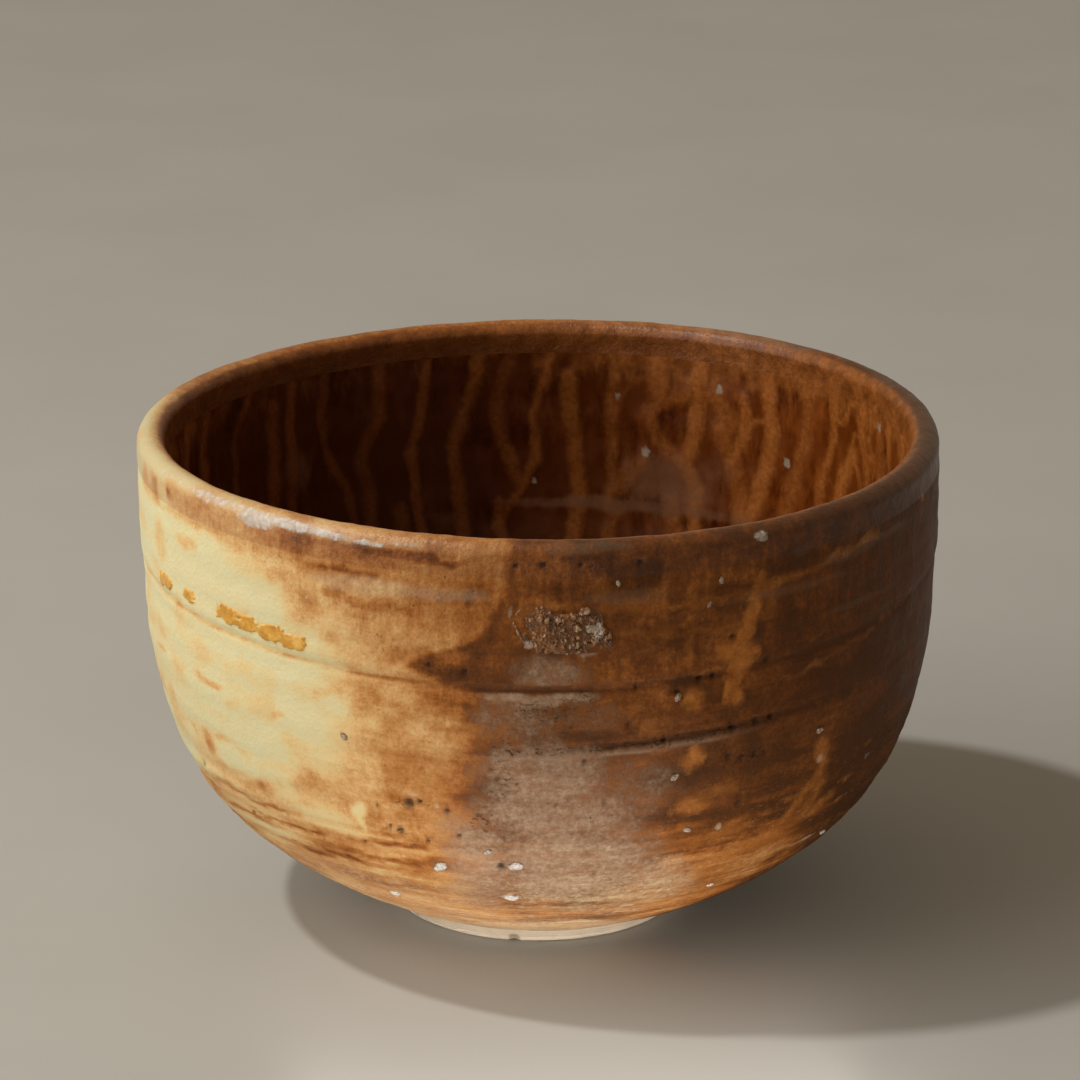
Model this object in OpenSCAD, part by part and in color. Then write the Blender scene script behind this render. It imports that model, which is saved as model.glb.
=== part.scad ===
/* [Bowl] */
// Outside diameter that the wall levels off towards
bowl_d = 122; // [112:1:132]
// Height from the resting plane to the top of the lip
bowl_h = 76; // [70:1:82]
// Thickness of the rounded lip, glaze included
lip_t = 4.2; // [3.6:0.1:5]
// Height over which the outside curve swings from the foot up to the wall
swing_h = 12; // [11:0.5:13]
// Sharpness of that swing: a higher value gives a narrower root at the foot
swell = 3.28; // [3:0.02:3.6]
// Depth below the resting plane at which the outside curve would close
root_drop = 14.3; // [13:0.1:15.5]
// How far the wall tucks back in at the lip
lip_tuck = 0.2; // [0:0.1:1]

/* [Inside] */
// Height of the inside floor above the resting plane
floor_z = 11; // [10.5:0.5:13]
// Height over which the inside curve swings from the floor up to the wall
inside_swing_h = 12; // [10:0.5:14]
// Sharpness of the inside swing: under 1 makes a flat round floor
inside_swell = 0.56; // [0.5:0.02:0.7]

/* [Foot] */
// Diameter of the foot ring where it rests
foot_d = 45; // [42:1:47]
// Width of the flat resting ring
foot_land = 3.2; // [2.5:0.1:4]
// Depth of the hollow inside the foot ring
foot_hollow = 6; // [5:0.25:6.5]
// How much the hollow narrows from the resting plane to its ceiling, on the radius
hollow_draft = 1.2; // [0.5:0.1:2]
// Radius that softens the edges of the resting ring
foot_edge_r = 0.8; // [0.4:0.1:1]

/* [Glaze] */
// Thickness of the glaze coats
glaze_t = 0.6; // [0.4:0.05:0.8]
// Height of the glaze line that leaves the foot bare
glaze_line_z = 2.6; // [2.2:0.1:3.2]
// Height at which the lip's own glaze band begins
lip_line_z = 71; // [69.5:0.5:71.5]

/* [Throwing rings] */
// Height of the finger groove round the wall
groove_z = 55; // [53:0.5:57]
// Depth of the finger groove
groove_depth = 0.5; // [0.2:0.1:0.8]
// Height of the raised throwing ring below the groove
ring_z = 45; // [43:0.5:47]
// Rise of the raised throwing ring
ring_rise = 0.3; // [0.1:0.1:0.5]
// Half height of the groove and of the raised ring
ring_w = 1.4; // [1:0.1:2]

/* [Glaze pools, crust and stones] */
// Radius of the largest amber bead, and how far its middle lies below the glaze
pool_bead_r = 1.6; // [1.4:0.05:1.7]
pool_sink = 0.5; // [0.3:0.05:0.7]
// Each amber bead: turn from the front, height above the groove, share of the largest radius
pools = [
    [-65.5, 3.7, 0.9],
    [-57.5, 3.9, 0.85],
    [-47.8, 3.6, 1.0],
    [-43.6, 3.4, 0.95],
    [-39.6, 3.0, 1.0],
    [-35.6, 2.5, 0.9]
];
// Turn from the front at which the ash crust begins
crust_turn = -4.5; // [-10:0.5:0]
// Angle that the ash crust covers
crust_sweep = 13.5; // [10:0.5:16]
// Lowest and highest point of the ash crust
crust_band = [59, 67.5];
// Thickness of the ash crust at its middle
crust_t = 0.9; // [0.5:0.1:1.2]
// Radius of the largest stone that shows through the glaze
stone_r = 1.1; // [0.9:0.05:1.3]
// How far a stone's middle lies below the glaze
stone_sink = 0.2; // [0.1:0.05:0.4]
// Where each stone shows: turn from the front, height, share of the largest radius
stones = [
    [-16, 24, 1.0],
    [-4, 25, 1.0],
    [-8, 27.5, 0.7],
    [-5, 18, 1.0],
    [-28, 15.5, 0.8],
    [-28, 44.5, 0.7],
    [7, 63.5, 0.9],
    [10.5, 70, 0.65],
    [25, 69, 0.65],
    [19, 39.5, 0.8],
    [22, 30, 0.75],
    [19, 52, 0.7],
    [57, 20, 0.8],
    [43, 42, 0.75],
    [32, 16.5, 0.7],
    [118, 34, 0.9],
    [150, 58, 0.75],
    [-150, 22, 1.0],
    [-112, 48, 0.7],
    [172, 40, 0.85]
];

/* [Hidden] */

// Segments of a full turn
turn_fn = 360;
// Segments of a small round shape
small_fn = 72;
// Steps that shape the outside wall, the inside wall, the lip's flanks and its round top
wall_steps = 64;
inside_steps = 36;
flank_steps = 4;
lip_steps = 12;
edge_steps = 5;
// Small height used to take a slope
dz = 0.01;
// Overlap of a cutting solid past the face that it cuts
cut = 1;

// Height of the centre of the lip's round top
lip_centre_z = bowl_h - lip_t / 2;
// Radius of the outside and inside wall where the round top begins
lip_outer_r = outer_r(lip_centre_z);
lip_inner_r = lip_outer_r - lip_t;
// Radius of the middle of the lip
lip_mid_r = lip_outer_r - lip_t / 2;

// A smooth hump of height 1 centred on z0
function hump(z, z0) = exp(-pow((z - z0) / ring_w, 2));

// The wall levels off exponentially, and tucks in a little towards the lip
function swing(z) = pow(1 - exp(-(z + root_drop) / swing_h), swell);
function tuck(z) = lip_tuck * pow(max(0, (z - groove_z) / (bowl_h - groove_z)), 2);
function outer_r(z) = bowl_d / 2 * swing(z) / swing(bowl_h) - tuck(z)
    - groove_depth * hump(z, groove_z) + ring_rise * hump(z, ring_z);

function inside_swing(z) = pow(1 - exp(-(z - floor_z) / inside_swing_h), inside_swell);
function inner_r(z) = lip_inner_r * inside_swing(z) / inside_swing(lip_centre_z);

// Points on the wall, sunk into the clay by depth along the wall's own normal
function outer_slope(z) = (outer_r(z + dz) - outer_r(z - dz)) / (2 * dz);
function inner_slope(z) = (inner_r(z + dz) - inner_r(z)) / dz;
function outer_pt(z, depth) =
    let (s = outer_slope(z), n = norm([1, s]))
    [outer_r(z) - depth / n, z + depth * s / n];
function inner_pt(z, depth) =
    let (s = inner_slope(z), n = norm([1, s]))
    [inner_r(z) + depth / n, z - depth * s / n];

function reversed(list) = [for (i = [len(list) - 1 : -1 : 0]) list[i]];
function arc(r, a0, a1, steps) =
    [for (i = [0 : steps]) let (a = a0 + (a1 - a0) * i / steps) r * [cos(a), sin(a)]];
function moved(list, by) = [for (p = list) p + by];

// Heights at which each stretch of wall is shaped, all from low to high
wall_z = [for (i = [0 : wall_steps]) glaze_line_z
    + (lip_line_z - glaze_line_z) * pow(i / wall_steps, 1.3)];
flank_z = [for (i = [0 : flank_steps]) lip_line_z
    + (lip_centre_z - lip_line_z) * i / flank_steps];
inside_z = [for (i = [1 : inside_steps]) floor_z
    + (lip_line_z - floor_z) * pow(i / inside_steps, 2.4)];

function outside(depth) = [for (z = wall_z) outer_pt(z, depth)];
function outer_flank(depth) = [for (z = flank_z) outer_pt(z, depth)];
function inner_flank(depth) = [for (z = flank_z) inner_pt(z, depth)];
function inside(depth) =
    concat([[0, floor_z - depth]], [for (z = inside_z) inner_pt(z, depth)]);
function lip_top(depth) =
    moved(arc(lip_t / 2 - depth, 0, 180, lip_steps), [lip_mid_r, lip_centre_z]);

// The foot ring's section, from the hollow's ceiling round the resting edge
function foot_outline() =
    let (land_r = foot_d / 2 - foot_edge_r, inner_land_r = foot_d / 2 - foot_edge_r - foot_land)
    concat(
        [[0, foot_hollow], [inner_land_r - foot_edge_r - hollow_draft, foot_hollow]],
        moved(arc(foot_edge_r, 180, 270, edge_steps), [inner_land_r, foot_edge_r]),
        moved(arc(foot_edge_r, 270, 360, edge_steps), [land_r, foot_edge_r])
    );

// The whole of the fired clay in one section, foot and body
function clay_outline() = concat(
    foot_outline(),
    outside(glaze_t),
    outer_flank(glaze_t),
    lip_top(glaze_t),
    reversed(inner_flank(glaze_t)),
    reversed(inside(glaze_t))
);

// The outside as glazed, filled in to the axis
function glazed_outline() = concat(
    [[0, glaze_line_z]],
    outside(0),
    outer_flank(0),
    [[0, lip_centre_z]]
);

module turned(outline) {
    rotate_extrude($fn = turn_fn)
        polygon(outline);
}

module below_joint() {
    translate([0, 0, -cut])
        cylinder(h = foot_hollow + cut, r = bowl_d / 2, $fn = turn_fn);
}

// Sets its children on the wall: turned from the front, at a height, sunk by depth
module on_wall(turn, z, depth) {
    p = outer_pt(z, depth);
    rotate([0, 0, turn - 90])
        translate([p[0], 0, p[1]])
            children();
}

module stone_balls() {
    for (s = stones)
        on_wall(s[0], s[1], stone_sink)
            sphere(r = stone_r * s[2], $fn = small_fn);
}

// Thrown wall, lip and floor, down to the plane where the foot ring is joined
module clay_body() {
    color([0.80, 0.70, 0.56])
        difference() {
            turned(clay_outline());
            below_joint();
        }
}

// Foot ring of bare clay
module foot_ring() {
    color([0.86, 0.77, 0.62])
        intersection() {
            turned(clay_outline());
            below_joint();
        }
}

// Ash and iron glaze on the outside, from the foot's glaze line to the lip band
module outer_glaze() {
    color([0.62, 0.42, 0.20])
        turned(concat(outside(0), reversed(outside(glaze_t))));
}

// Dark glossy glaze on the inside wall and floor
module inner_glaze() {
    color([0.30, 0.15, 0.06])
        turned(concat(inside(0), reversed(inside(glaze_t))));
}

// Smooth glaze band over the rounded lip
module lip_glaze() {
    color([0.48, 0.36, 0.24])
        turned(concat(
            outer_flank(0),
            lip_top(0),
            reversed(inner_flank(0)),
            inner_flank(glaze_t),
            reversed(lip_top(glaze_t)),
            reversed(outer_flank(glaze_t))
        ));
}

// Beads of amber glass that hang along the groove
module amber_glaze_pools() {
    color([0.78, 0.55, 0.10])
        difference() {
            for (p = pools)
                on_wall(p[0], groove_z + p[1], pool_sink)
                    sphere(r = pool_bead_r * p[2], $fn = small_fn);
            turned(glazed_outline());
        }
}

// Blistered ash crust fused onto the front of the wall
module ash_crust() {
    heights = [for (z = wall_z) if (z >= crust_band[0] && z <= crust_band[1]) z];
    low = heights[0];
    high = heights[len(heights) - 1];
    bulge = [for (z = heights) crust_t * (0.35 + 0.65 * sin(180 * (z - low) / (high - low)))];
    color([0.55, 0.45, 0.36])
        rotate([0, 0, crust_turn - 90])
            rotate_extrude(angle = crust_sweep, $fn = turn_fn)
                polygon(concat(
                    [for (i = [0 : len(heights) - 1]) outer_pt(heights[i], -bulge[i])],
                    reversed([for (z = heights) outer_pt(z, 0)])
                ));
}

// Feldspar stones that have burst out and stand proud of the glaze
module burst_stones() {
    color([0.88, 0.85, 0.80])
        difference() {
            stone_balls();
            turned(glazed_outline());
        }
}

clay_body();
foot_ring();
outer_glaze();
inner_glaze();
lip_glaze();
amber_glaze_pools();
ash_crust();
burst_stones();
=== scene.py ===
"""Looks of the matcha bowl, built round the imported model. Metres, the CAD's own frame.

Places on the wall are given by turn (degrees from the front, -Y, towards +X) and height.
"""
import math

import bmesh
import bpy
import numpy as np
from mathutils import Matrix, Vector
from mathutils.bvhtree import BVHTree


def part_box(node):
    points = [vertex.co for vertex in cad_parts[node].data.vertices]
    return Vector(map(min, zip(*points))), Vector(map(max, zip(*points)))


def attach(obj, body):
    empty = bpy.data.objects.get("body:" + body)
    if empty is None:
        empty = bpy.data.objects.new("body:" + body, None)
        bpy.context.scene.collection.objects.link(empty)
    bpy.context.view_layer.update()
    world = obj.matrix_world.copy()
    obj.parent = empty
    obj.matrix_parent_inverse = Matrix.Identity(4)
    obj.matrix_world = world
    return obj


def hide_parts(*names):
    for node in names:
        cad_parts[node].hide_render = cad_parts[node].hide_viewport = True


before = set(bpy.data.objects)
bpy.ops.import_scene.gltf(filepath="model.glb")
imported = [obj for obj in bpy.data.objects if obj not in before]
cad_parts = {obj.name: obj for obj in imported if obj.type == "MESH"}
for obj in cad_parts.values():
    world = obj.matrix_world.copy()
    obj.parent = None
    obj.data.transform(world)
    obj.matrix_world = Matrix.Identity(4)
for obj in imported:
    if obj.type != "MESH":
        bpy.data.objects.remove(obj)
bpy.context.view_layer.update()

MM = 0.001
TAU = 2 * math.pi
BODY = "root"

# ---------------------------------------------------------------- the CAD's own surfaces

FAR = 0.3
# A direction in which no bead, crust or stone stands on the wall
PLAIN = Vector((math.cos(math.radians(8)), math.sin(math.radians(8)), 0))


def tree_of(*names):
    """One ray-casting tree over some CAD nodes."""
    points, faces = [], []
    for name in names:
        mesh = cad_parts[name].data
        start = len(points)
        points += [v.co.copy() for v in mesh.vertices]
        faces += [[start + i for i in p.vertices] for p in mesh.polygons]
    return BVHTree.FromPolygons(points, faces)


def outer_radius(tree, z):
    """Radius of the outside surface at a height."""
    hit = tree.ray_cast(PLAIN * FAR + Vector((0, 0, z)), -PLAIN)[0]
    return math.hypot(hit.x, hit.y)


def inner_radius(tree, z):
    """Radius of the inside surface at a height."""
    hit = tree.ray_cast(Vector((0, 0, z)), PLAIN)[0]
    return math.hypot(hit.x, hit.y)


outside_tree = tree_of("outer_glaze", "lip_glaze", "foot_ring")
inside_tree = tree_of("inner_glaze", "lip_glaze")
foot_tree = tree_of("foot_ring")

LIP_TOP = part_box("lip_glaze")[1].z
LIP_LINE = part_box("lip_glaze")[0].z
GLAZE_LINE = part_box("outer_glaze")[0].z
JOINT_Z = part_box("foot_ring")[1].z
FLOOR_Z = inside_tree.ray_cast(Vector((0, 0, FAR)), Vector((0, 0, -1)))[0].z
GLAZE_T = FLOOR_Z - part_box("inner_glaze")[0].z
NEAR_TOP = LIP_LINE + 1 * MM
LIP_T = outer_radius(outside_tree, NEAR_TOP) - inner_radius(inside_tree, NEAR_TOP)
LIP_CENTRE_Z = LIP_TOP - LIP_T / 2
WALL_R = outer_radius(outside_tree, LIP_CENTRE_Z)
# Millimetres along the wall in a degree of turn
ARC = WALL_R / MM * math.radians(1)


def islands(name):
    """The separate solids of a node, each as an array of points, joined up along their edges."""
    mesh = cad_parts[name].data
    points = np.array([v.co for v in mesh.vertices])
    _, same = np.unique(np.round(points / (0.001 * MM)).astype(int), axis=0, return_inverse=True)
    same = same.reshape(-1)
    group = np.arange(same.max() + 1)

    def root(i):
        while group[i] != i:
            group[i] = group[group[i]]
            i = group[i]
        return i

    for edge in mesh.edges:
        a, b = (root(same[v]) for v in edge.vertices)
        group[a] = b
    label = np.array([root(i) for i in same])
    return [points[label == one] for one in np.unique(label)]


# ---------------------------------------------------------------- noise on a lattice

# Cells across the noise, after which it repeats
LATTICE = 64


def smooth(t):
    """An S-shaped rise from 0 to 1."""
    t = np.clip(t, 0, 1)
    return t * t * (3 - 2 * t)


def step(low, high, x):
    """0 below low, 1 above high, smooth between."""
    return smooth((x - low) / (high - low))


def within(x, low, full, falling, high):
    """0 below low, 1 from full to falling, 0 again above high, smooth between."""
    return step(low, full, x) * (1 - step(falling, high, x))


def bell(x, centre, width):
    """1 at the centre, falling to 0 either side."""
    return np.exp(-((x - centre) / width) ** 2)


def noise(points, seed):
    """Value noise from -1 to 1 at (n, 3) points, one lattice cell a unit."""
    table = np.random.default_rng(seed).random((LATTICE,) * 3) * 2 - 1
    base = np.floor(points).astype(int)
    part = smooth(points - base)
    total = np.zeros(len(points))
    for dx in (0, 1):
        for dy in (0, 1):
            for dz in (0, 1):
                corner = (base + (dx, dy, dz)) % LATTICE
                weight = (np.where(dx, part[:, 0], 1 - part[:, 0])
                          * np.where(dy, part[:, 1], 1 - part[:, 1])
                          * np.where(dz, part[:, 2], 1 - part[:, 2]))
                total += weight * table[corner[:, 0], corner[:, 1], corner[:, 2]]
    return total


def fractal(points, size, seed, octaves, gain=0.5):
    """Layers of noise at an array of points. size is one cell in metres, or one for each axis."""
    shape = points.shape[:-1]
    points = points.reshape(-1, 3) / np.asarray(size, float)
    total, reach = np.zeros(len(points)), 0.0
    for octave in range(octaves):
        total += gain ** octave * noise(points * 2 ** octave + 7.3 * octave, seed + octave)
        reach += gain ** octave
    return (total / reach).reshape(shape)


# ---------------------------------------------------------------- turned grids

def run_along(path):
    """Distance along a path of (radius, height)."""
    return np.concatenate([[0], np.cumsum(np.hypot(*np.diff(path, axis=0).T))])


def resampled(path, count):
    """count points spaced evenly along a path."""
    path = np.asarray(path, float)
    run = run_along(path)
    at = np.linspace(0, run[-1], count)
    return np.stack([np.interp(at, run, path[:, k]) for k in (0, 1)], 1)


def softened(path, reach):
    """The path with its rings and grooves smoothed away, its ends kept."""
    path = resampled(path, 400)
    spacing = np.hypot(*np.diff(path, axis=0).T).mean()
    n = int(3 * reach / spacing)
    weight = np.exp(-0.5 * (np.arange(-n, n + 1) * spacing / reach) ** 2)
    weight /= weight.sum()
    padded = np.concatenate([
        2 * path[0] - path[n:0:-1], path, 2 * path[-1] - path[-2:-n - 2:-1]])
    return np.stack([np.convolve(padded[:, k], weight, "valid") for k in (0, 1)], 1)


def normals(path):
    """Unit normals of a path, to the right of its run."""
    slope = np.gradient(path, axis=0)
    slope /= np.hypot(*slope.T)[:, None]
    return np.stack([slope[:, 1], -slope[:, 0]], 1)


def spans(path, depth):
    """The path sunk by depth along its normal."""
    return path - normals(path) * depth


def cut_at(path, z):
    """The path split at a height, the point there in both."""
    r = np.interp(z, path[:, 1], path[:, 0])
    low = path[path[:, 1] < z - 1e-6]
    high = path[path[:, 1] > z + 1e-6]
    return np.vstack([low, [[r, z]]]), np.vstack([[[r, z]], high])


def turns(count, crowd):
    """Angles from the front, closer together there, or at the back where crowd is negative."""
    u = np.arange(count) / count * TAU
    return u - crowd * np.sin(u)


def spun(path, angles):
    """Points (rows, columns, 3) of a path turned about Z."""
    r, z = path[:, 0][:, None], path[:, 1][:, None]
    return np.stack([r * np.sin(angles), -r * np.cos(angles),
                     np.broadcast_to(z, (len(path), len(angles)))], -1)


def bumped(path, angles, height):
    """A turned path pushed out along its normal by height (rows, columns)."""
    n = normals(path)
    r = path[:, 0][:, None] + n[:, 0][:, None] * height
    z = path[:, 1][:, None] + n[:, 1][:, None] * height
    return np.stack([r * np.sin(angles), -r * np.cos(angles), z], -1)


def places(path, angles):
    """Turn in degrees (-180 to 180), height in mm and points of a turned path."""
    points = spun(path, angles)
    turn = np.broadcast_to((np.degrees(angles) + 180) % 360 - 180, points.shape[:2])
    return turn, points[..., 2] / MM, points


def off(turn, centre):
    """Degrees from centre, the short way round."""
    return (turn - centre + 180) % 360 - 180


def patches(turn, z, listed, edge):
    """The strongest of several soft-edged ellipses on the wall.

    Each is (turn, height, half width, half height, strength).
    """
    total = np.zeros(turn.shape)
    for at, level, wide, tall, strength in listed:
        d = np.hypot(off(turn, at) / wide, (z - level) / tall)
        one = (1 - step(1 - edge, 1 + edge, d)) * strength
        total = np.where(np.abs(one) > np.abs(total), one, total)
    return total


def turned_mesh(name, grid, fields, poles=False):
    """A closed mesh from a grid of rings. The rings loop, or end in a pole each way.

    fields gives values under a name, as arrays that cover the grid's first rows.
    """
    rows, cols = grid.shape[:2]
    points = grid.reshape(-1, 3)
    index = np.arange(rows * cols).reshape(rows, cols)
    across = np.roll(index, -1, axis=1)
    low, high = (index[:-1], index[1:]) if poles else (index, np.roll(index, -1, axis=0))
    low_next, high_next = (across[:-1], across[1:]) if poles else (across, np.roll(across, -1, axis=0))
    faces = np.stack([low, low_next, high_next, high], -1).reshape(-1, 4).tolist()
    if poles:
        first, last = len(points), len(points) + 1
        points = np.concatenate([points, [grid[0].mean(0), grid[-1].mean(0)]])
        faces += [[first, b, a] for a, b in zip(index[0], across[0])]
        faces += [[last, a, b] for a, b in zip(index[-1], across[-1])]
    mesh = bpy.data.meshes.new(name)
    mesh.from_pydata(points.tolist(), [], faces)
    for field, values in fields.items():
        full = np.zeros(len(points), np.float32)
        full[:values.size] = values.reshape(-1)
        if poles:
            full[-2] = values[0].mean()
        mesh.attributes.new(field, "FLOAT", "POINT").data.foreach_set("value", full)
    mesh.update()
    return mesh_object(name, mesh)


def mesh_object(name, mesh):
    """An object in the scene, smooth but for its sharp edges."""
    mesh.polygons.foreach_set("use_smooth", np.ones(len(mesh.polygons), bool))
    mesh.set_sharp_from_angle(angle=math.radians(50))
    obj = bpy.data.objects.new(name, mesh)
    bpy.context.scene.collection.objects.link(obj)
    return obj


def placed(obj, node, material):
    """Finishes a piece: its material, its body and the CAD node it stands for."""
    obj.data.materials.append(material)
    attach(obj, BODY)
    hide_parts(node)
    return obj


# ---------------------------------------------------------------- the hand-thrown shape

def shifted(grid):
    """A grid leaned and rounded unevenly, as a bowl comes off the wheel."""
    x, y, z = grid[..., 0], grid[..., 1], grid[..., 2]
    angle = np.arctan2(x, -y)
    high = z / LIP_TOP
    r = np.hypot(x, y)
    uneven = (0.22 * np.cos(2 * angle + 0.8) + 0.12 * np.cos(3 * angle - 1.1)) * MM * high
    r = r + uneven * step(0.2, 0.7, r / WALL_R)
    lean = -0.5 * MM * (high - 0.45)
    rise = 0.28 * MM * np.cos(2 * (angle + math.radians(50))) * high ** 3
    return np.stack([r * np.sin(angle) + lean, -r * np.cos(angle), z + rise], -1)


def groove_level(turn):
    """Height of the finger groove in mm, which isn't quite level."""
    return 54.2 + 2.8 * np.sin(np.radians(turn)) ** 2


def ridge_level(turn):
    """Height of the torn throwing ridge in mm, which climbs to the right."""
    return 44.3 + 2.6 * np.sin(np.radians(turn)) + 0.9 * np.sin(np.radians(turn)) ** 2


def ridge_reach(turn):
    """How strongly the ridge stands out, from 0 to 1."""
    return step(-14, 2, turn) * (1 - 0.8 * step(26, 48, turn)) * (1 - step(95, 130, turn))


# Pits in the glaze: turn, height in mm, radius in mm
PITS = (
    (-19, 35, 1.1), (-17.4, 35.4, 0.6), (-21, 30, 0.8), (-22.6, 30.4, 0.5), (-13.4, 34.4, 0.6),
    (-24, 34, 0.4), (-17, 28.6, 0.5), (-12, 30, 0.45), (-28, 26.4, 0.5), (-6.2, 24.6, 0.9),
    (6, 43, 0.5), (18.7, 53, 0.6), (26.8, 60.2, 0.7), (32.4, 55.6, 0.6), (-10, 56.6, 0.5),
    (-15, 57.5, 0.45), (13, 54.2, 0.5), (22, 54.4, 0.6), (24, 54.7, 0.5), (12, 48.6, 0.5),
    (27.2, 46, 0.7), (31, 46.4, 0.6), (33.4, 46.6, 0.5), (27, 41.4, 0.6), (29, 40.8, 0.5),
    (31.2, 41.2, 0.5), (33, 40.7, 0.45), (17, 45.6, 0.45), (10, 45.2, 0.4), (-3, 72.8, 0.5),
    (0.5, 73, 0.4), (5.5, 72.9, 0.4), (13.4, 73, 0.5), (29.8, 33.4, 0.5), (-52, 25.4, 0.5),
    (-63, 30.2, 0.5), (9, 36.2, 0.4), (140, 52, 0.7), (152, 30, 0.6), (-140, 44, 0.7), (-166, 60, 0.6),
    (170, 26, 0.6), (98, 40, 0.6), (-104, 33, 0.6), (-122, 64, 0.5),
)


def pits(turn, z):
    """Depth of the pits from 0 to 1."""
    total = np.zeros(turn.shape)
    for at, level, radius in PITS:
        d = np.hypot(off(turn, at) * ARC, z - level) / radius
        total = np.maximum(total, np.exp(-(d / 0.8) ** 4))
    return total


def outside_relief(turn, z, points):
    """Height in metres of the throwing marks on the outside wall."""
    lumps = fractal(points, 14 * MM, 11, 3)
    grain = fractal(points, 2.6 * MM, 21, 3)
    streak = fractal(points, (16 * MM, 16 * MM, 1.5 * MM), 31, 3)
    fade = fractal(points, 26 * MM, 41, 2)
    rings = np.sin(TAU * z / 5.4 + 1.1 * np.sin(np.radians(turn)) + 1.5 * fade)
    trimmed = 1 - step(28, 38 + 12 * step(5, 20, turn), z)
    height = 0.07 * rings * (0.6 + 0.6 * fade) + 0.11 * lumps + (0.05 + 0.08 * trimmed) * grain
    height += streak * (0.04 + 0.18 * trimmed)

    groove = groove_level(turn)
    torn = 0.75 + 0.5 * fractal(points, 5 * MM, 45, 2)
    height -= 0.32 * torn * bell(z, groove, 0.5)
    height += 0.15 * bell(z, groove + 1.6, 1.4)
    ridge = ridge_level(turn) + 0.3 * fade
    drawn = ridge_reach(turn)
    height -= 0.34 * drawn * torn * bell(z, ridge + 0.5, 0.45)
    height += 0.28 * drawn * bell(z, ridge - 0.4, 0.6)
    for at, level, rise, reach in ((12, 34.4, -0.14, 16), (-48, 28.4, -0.15, 26), (-55, 25.6, -0.12, 30),
                                   (48, 31.4, -0.14, 18), (70, 61.5, 0.10, 40), (140, 49.5, -0.12, 40),
                                   (-150, 38, -0.12, 40), (20, 66.5, -0.10, 24)):
        height += rise * bell(z, level + 0.4 * fade, 0.5) * bell(off(turn, at), 0, reach)
    return (height - 0.42 * pits(turn, z)) * MM


def inside_relief(turn, points, run):
    """Height in metres of the throwing marks inside."""
    lumps = fractal(points, 16 * MM, 51, 3)
    fade = fractal(points, 30 * MM, 61, 2)
    r = np.hypot(points[..., 0], points[..., 1])
    spiral = np.sin(TAU * run / (6.5 * MM) + np.radians(turn) + 1.2 * fade)
    return (0.05 * spiral * step(4 * MM, 14 * MM, r) + 0.10 * lumps) * MM


# ---------------------------------------------------------------- where the glazes lie

# Edges between the glaze colours, as (height, turn): the turn at which the next colour starts
CREAM_ENDS = (
    (0, -100), (20, -96), (26, -80), (29, -62), (31, -52), (33, -43), (35, -37), (38, -31), (44, -28),
    (47, -27), (50, -21), (54, -22), (58, -25), (64, -33), (69, -42), (70, -64), (74, -66), (77, -40),
)
OCHRE_STARTS = (
    (0, -70), (14, -60), (24, -40), (30, -30), (36, -27), (44, -25), (50, -18), (56, -19), (62, -19),
    (66, -22), (70, -30), (73, -34), (77, -16),
)
BROWN_STARTS = (
    (0, -4), (30, -10), (46, -9.5), (54, -10), (55, -14), (57, -18), (59, -15), (61, -9), (64, -6.5),
    (68, -5), (77, -4),
)
DARK_STARTS = (
    (0, 34), (12, 35), (18, 52), (22, 54), (30, 46), (40, 33), (50, 27), (60, 31), (66, 35), (77, 34),
)

# Marks in the glaze and painted sheen: turn, height in mm, half width in degrees, half height in mm,
# strength
RUST = (
    (-66, 64.5, 2.4, 3.6, 0.21), (-57.5, 66.8, 2.4, 1.0, 0.20), (-73, 72, 3, 2, 0.20),
    (-67.5, 72.3, 2.4, 2.2, 0.22), (-62, 73, 1.2, 0.8, 0.22), (-50, 72.3, 9, 1.9, 0.06),
    (-37, 72.8, 9, 1.7, 0.09), (-25, 72.6, 7, 1.7, 0.15), (-19, 73.4, 9, 0.7, 0.22),
    (-34, 63.5, 3.6, 2.6, 0.22), (-38, 66.4, 3, 1.3, 0.16), (-24, 65.6, 8, 0.9, 0.18),
    (-22, 62, 9, 5, 0.07), (-9, 66, 3, 7, 0.08), (-44, 67.6, 5, 1.5, 0.08), (-30, 60, 6, 2, 0.05),
    (-71, 46.8, 2.6, 0.5, 0.22), (-54.8, 46.6, 2.5, 0.6, 0.26), (-39, 45.5, 1.2, 0.6, 0.2),
    (-57, 36.2, 2.2, 2.4, 0.24), (-52, 38, 3, 0.6, 0.2), (-47, 37.4, 2.2, 0.4, 0.16),
    (-51, 32.2, 8, 1.4, 0.20), (-70, 39.5, 2, 1.6, 0.14), (-63, 36.8, 1, 0.7, 0.12),
    (-32, 50.6, 1, 0.8, 0.14), (-95, 58, 4, 4, 0.2), (-112, 66, 8, 4, 0.24), (-124, 50, 6, 6, 0.2),
)
BROWN_DAPPLES = (
    (-17, 58, 3.5, 1.6, 0.11), (-12, 56.6, 5, 1.2, 0.14), (-26, 69.8, 7, 0.4, 0.14),
    (12, 61, 4, 5, 0.04), (36, 62, 4, 4, 0.06), (8, 46.6, 4, 0.9, 0.10), (46, 8, 10, 6, 0.26),
    (-14, 68, 4, 1.4, 0.10), (30, 38, 12, 6, 0.12), (24, 34, 8, 3, 0.08), (28, 48, 8, 4, 0.05),
    (-24, 24, 9, 0.6, 0.2), (-40, 21.8, 12, 0.6, 0.22), (-45, 26, 10, 0.35, 0.24),
    (-48, 28.6, 8, 0.35, 0.24), (-56, 24.6, 10, 0.4, 0.2), (-62, 21, 8, 0.8, 0.18),
    (-22, 27, 6, 0.4, 0.16), (-27, 52.5, 5, 3, 0.16),
)
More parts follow.
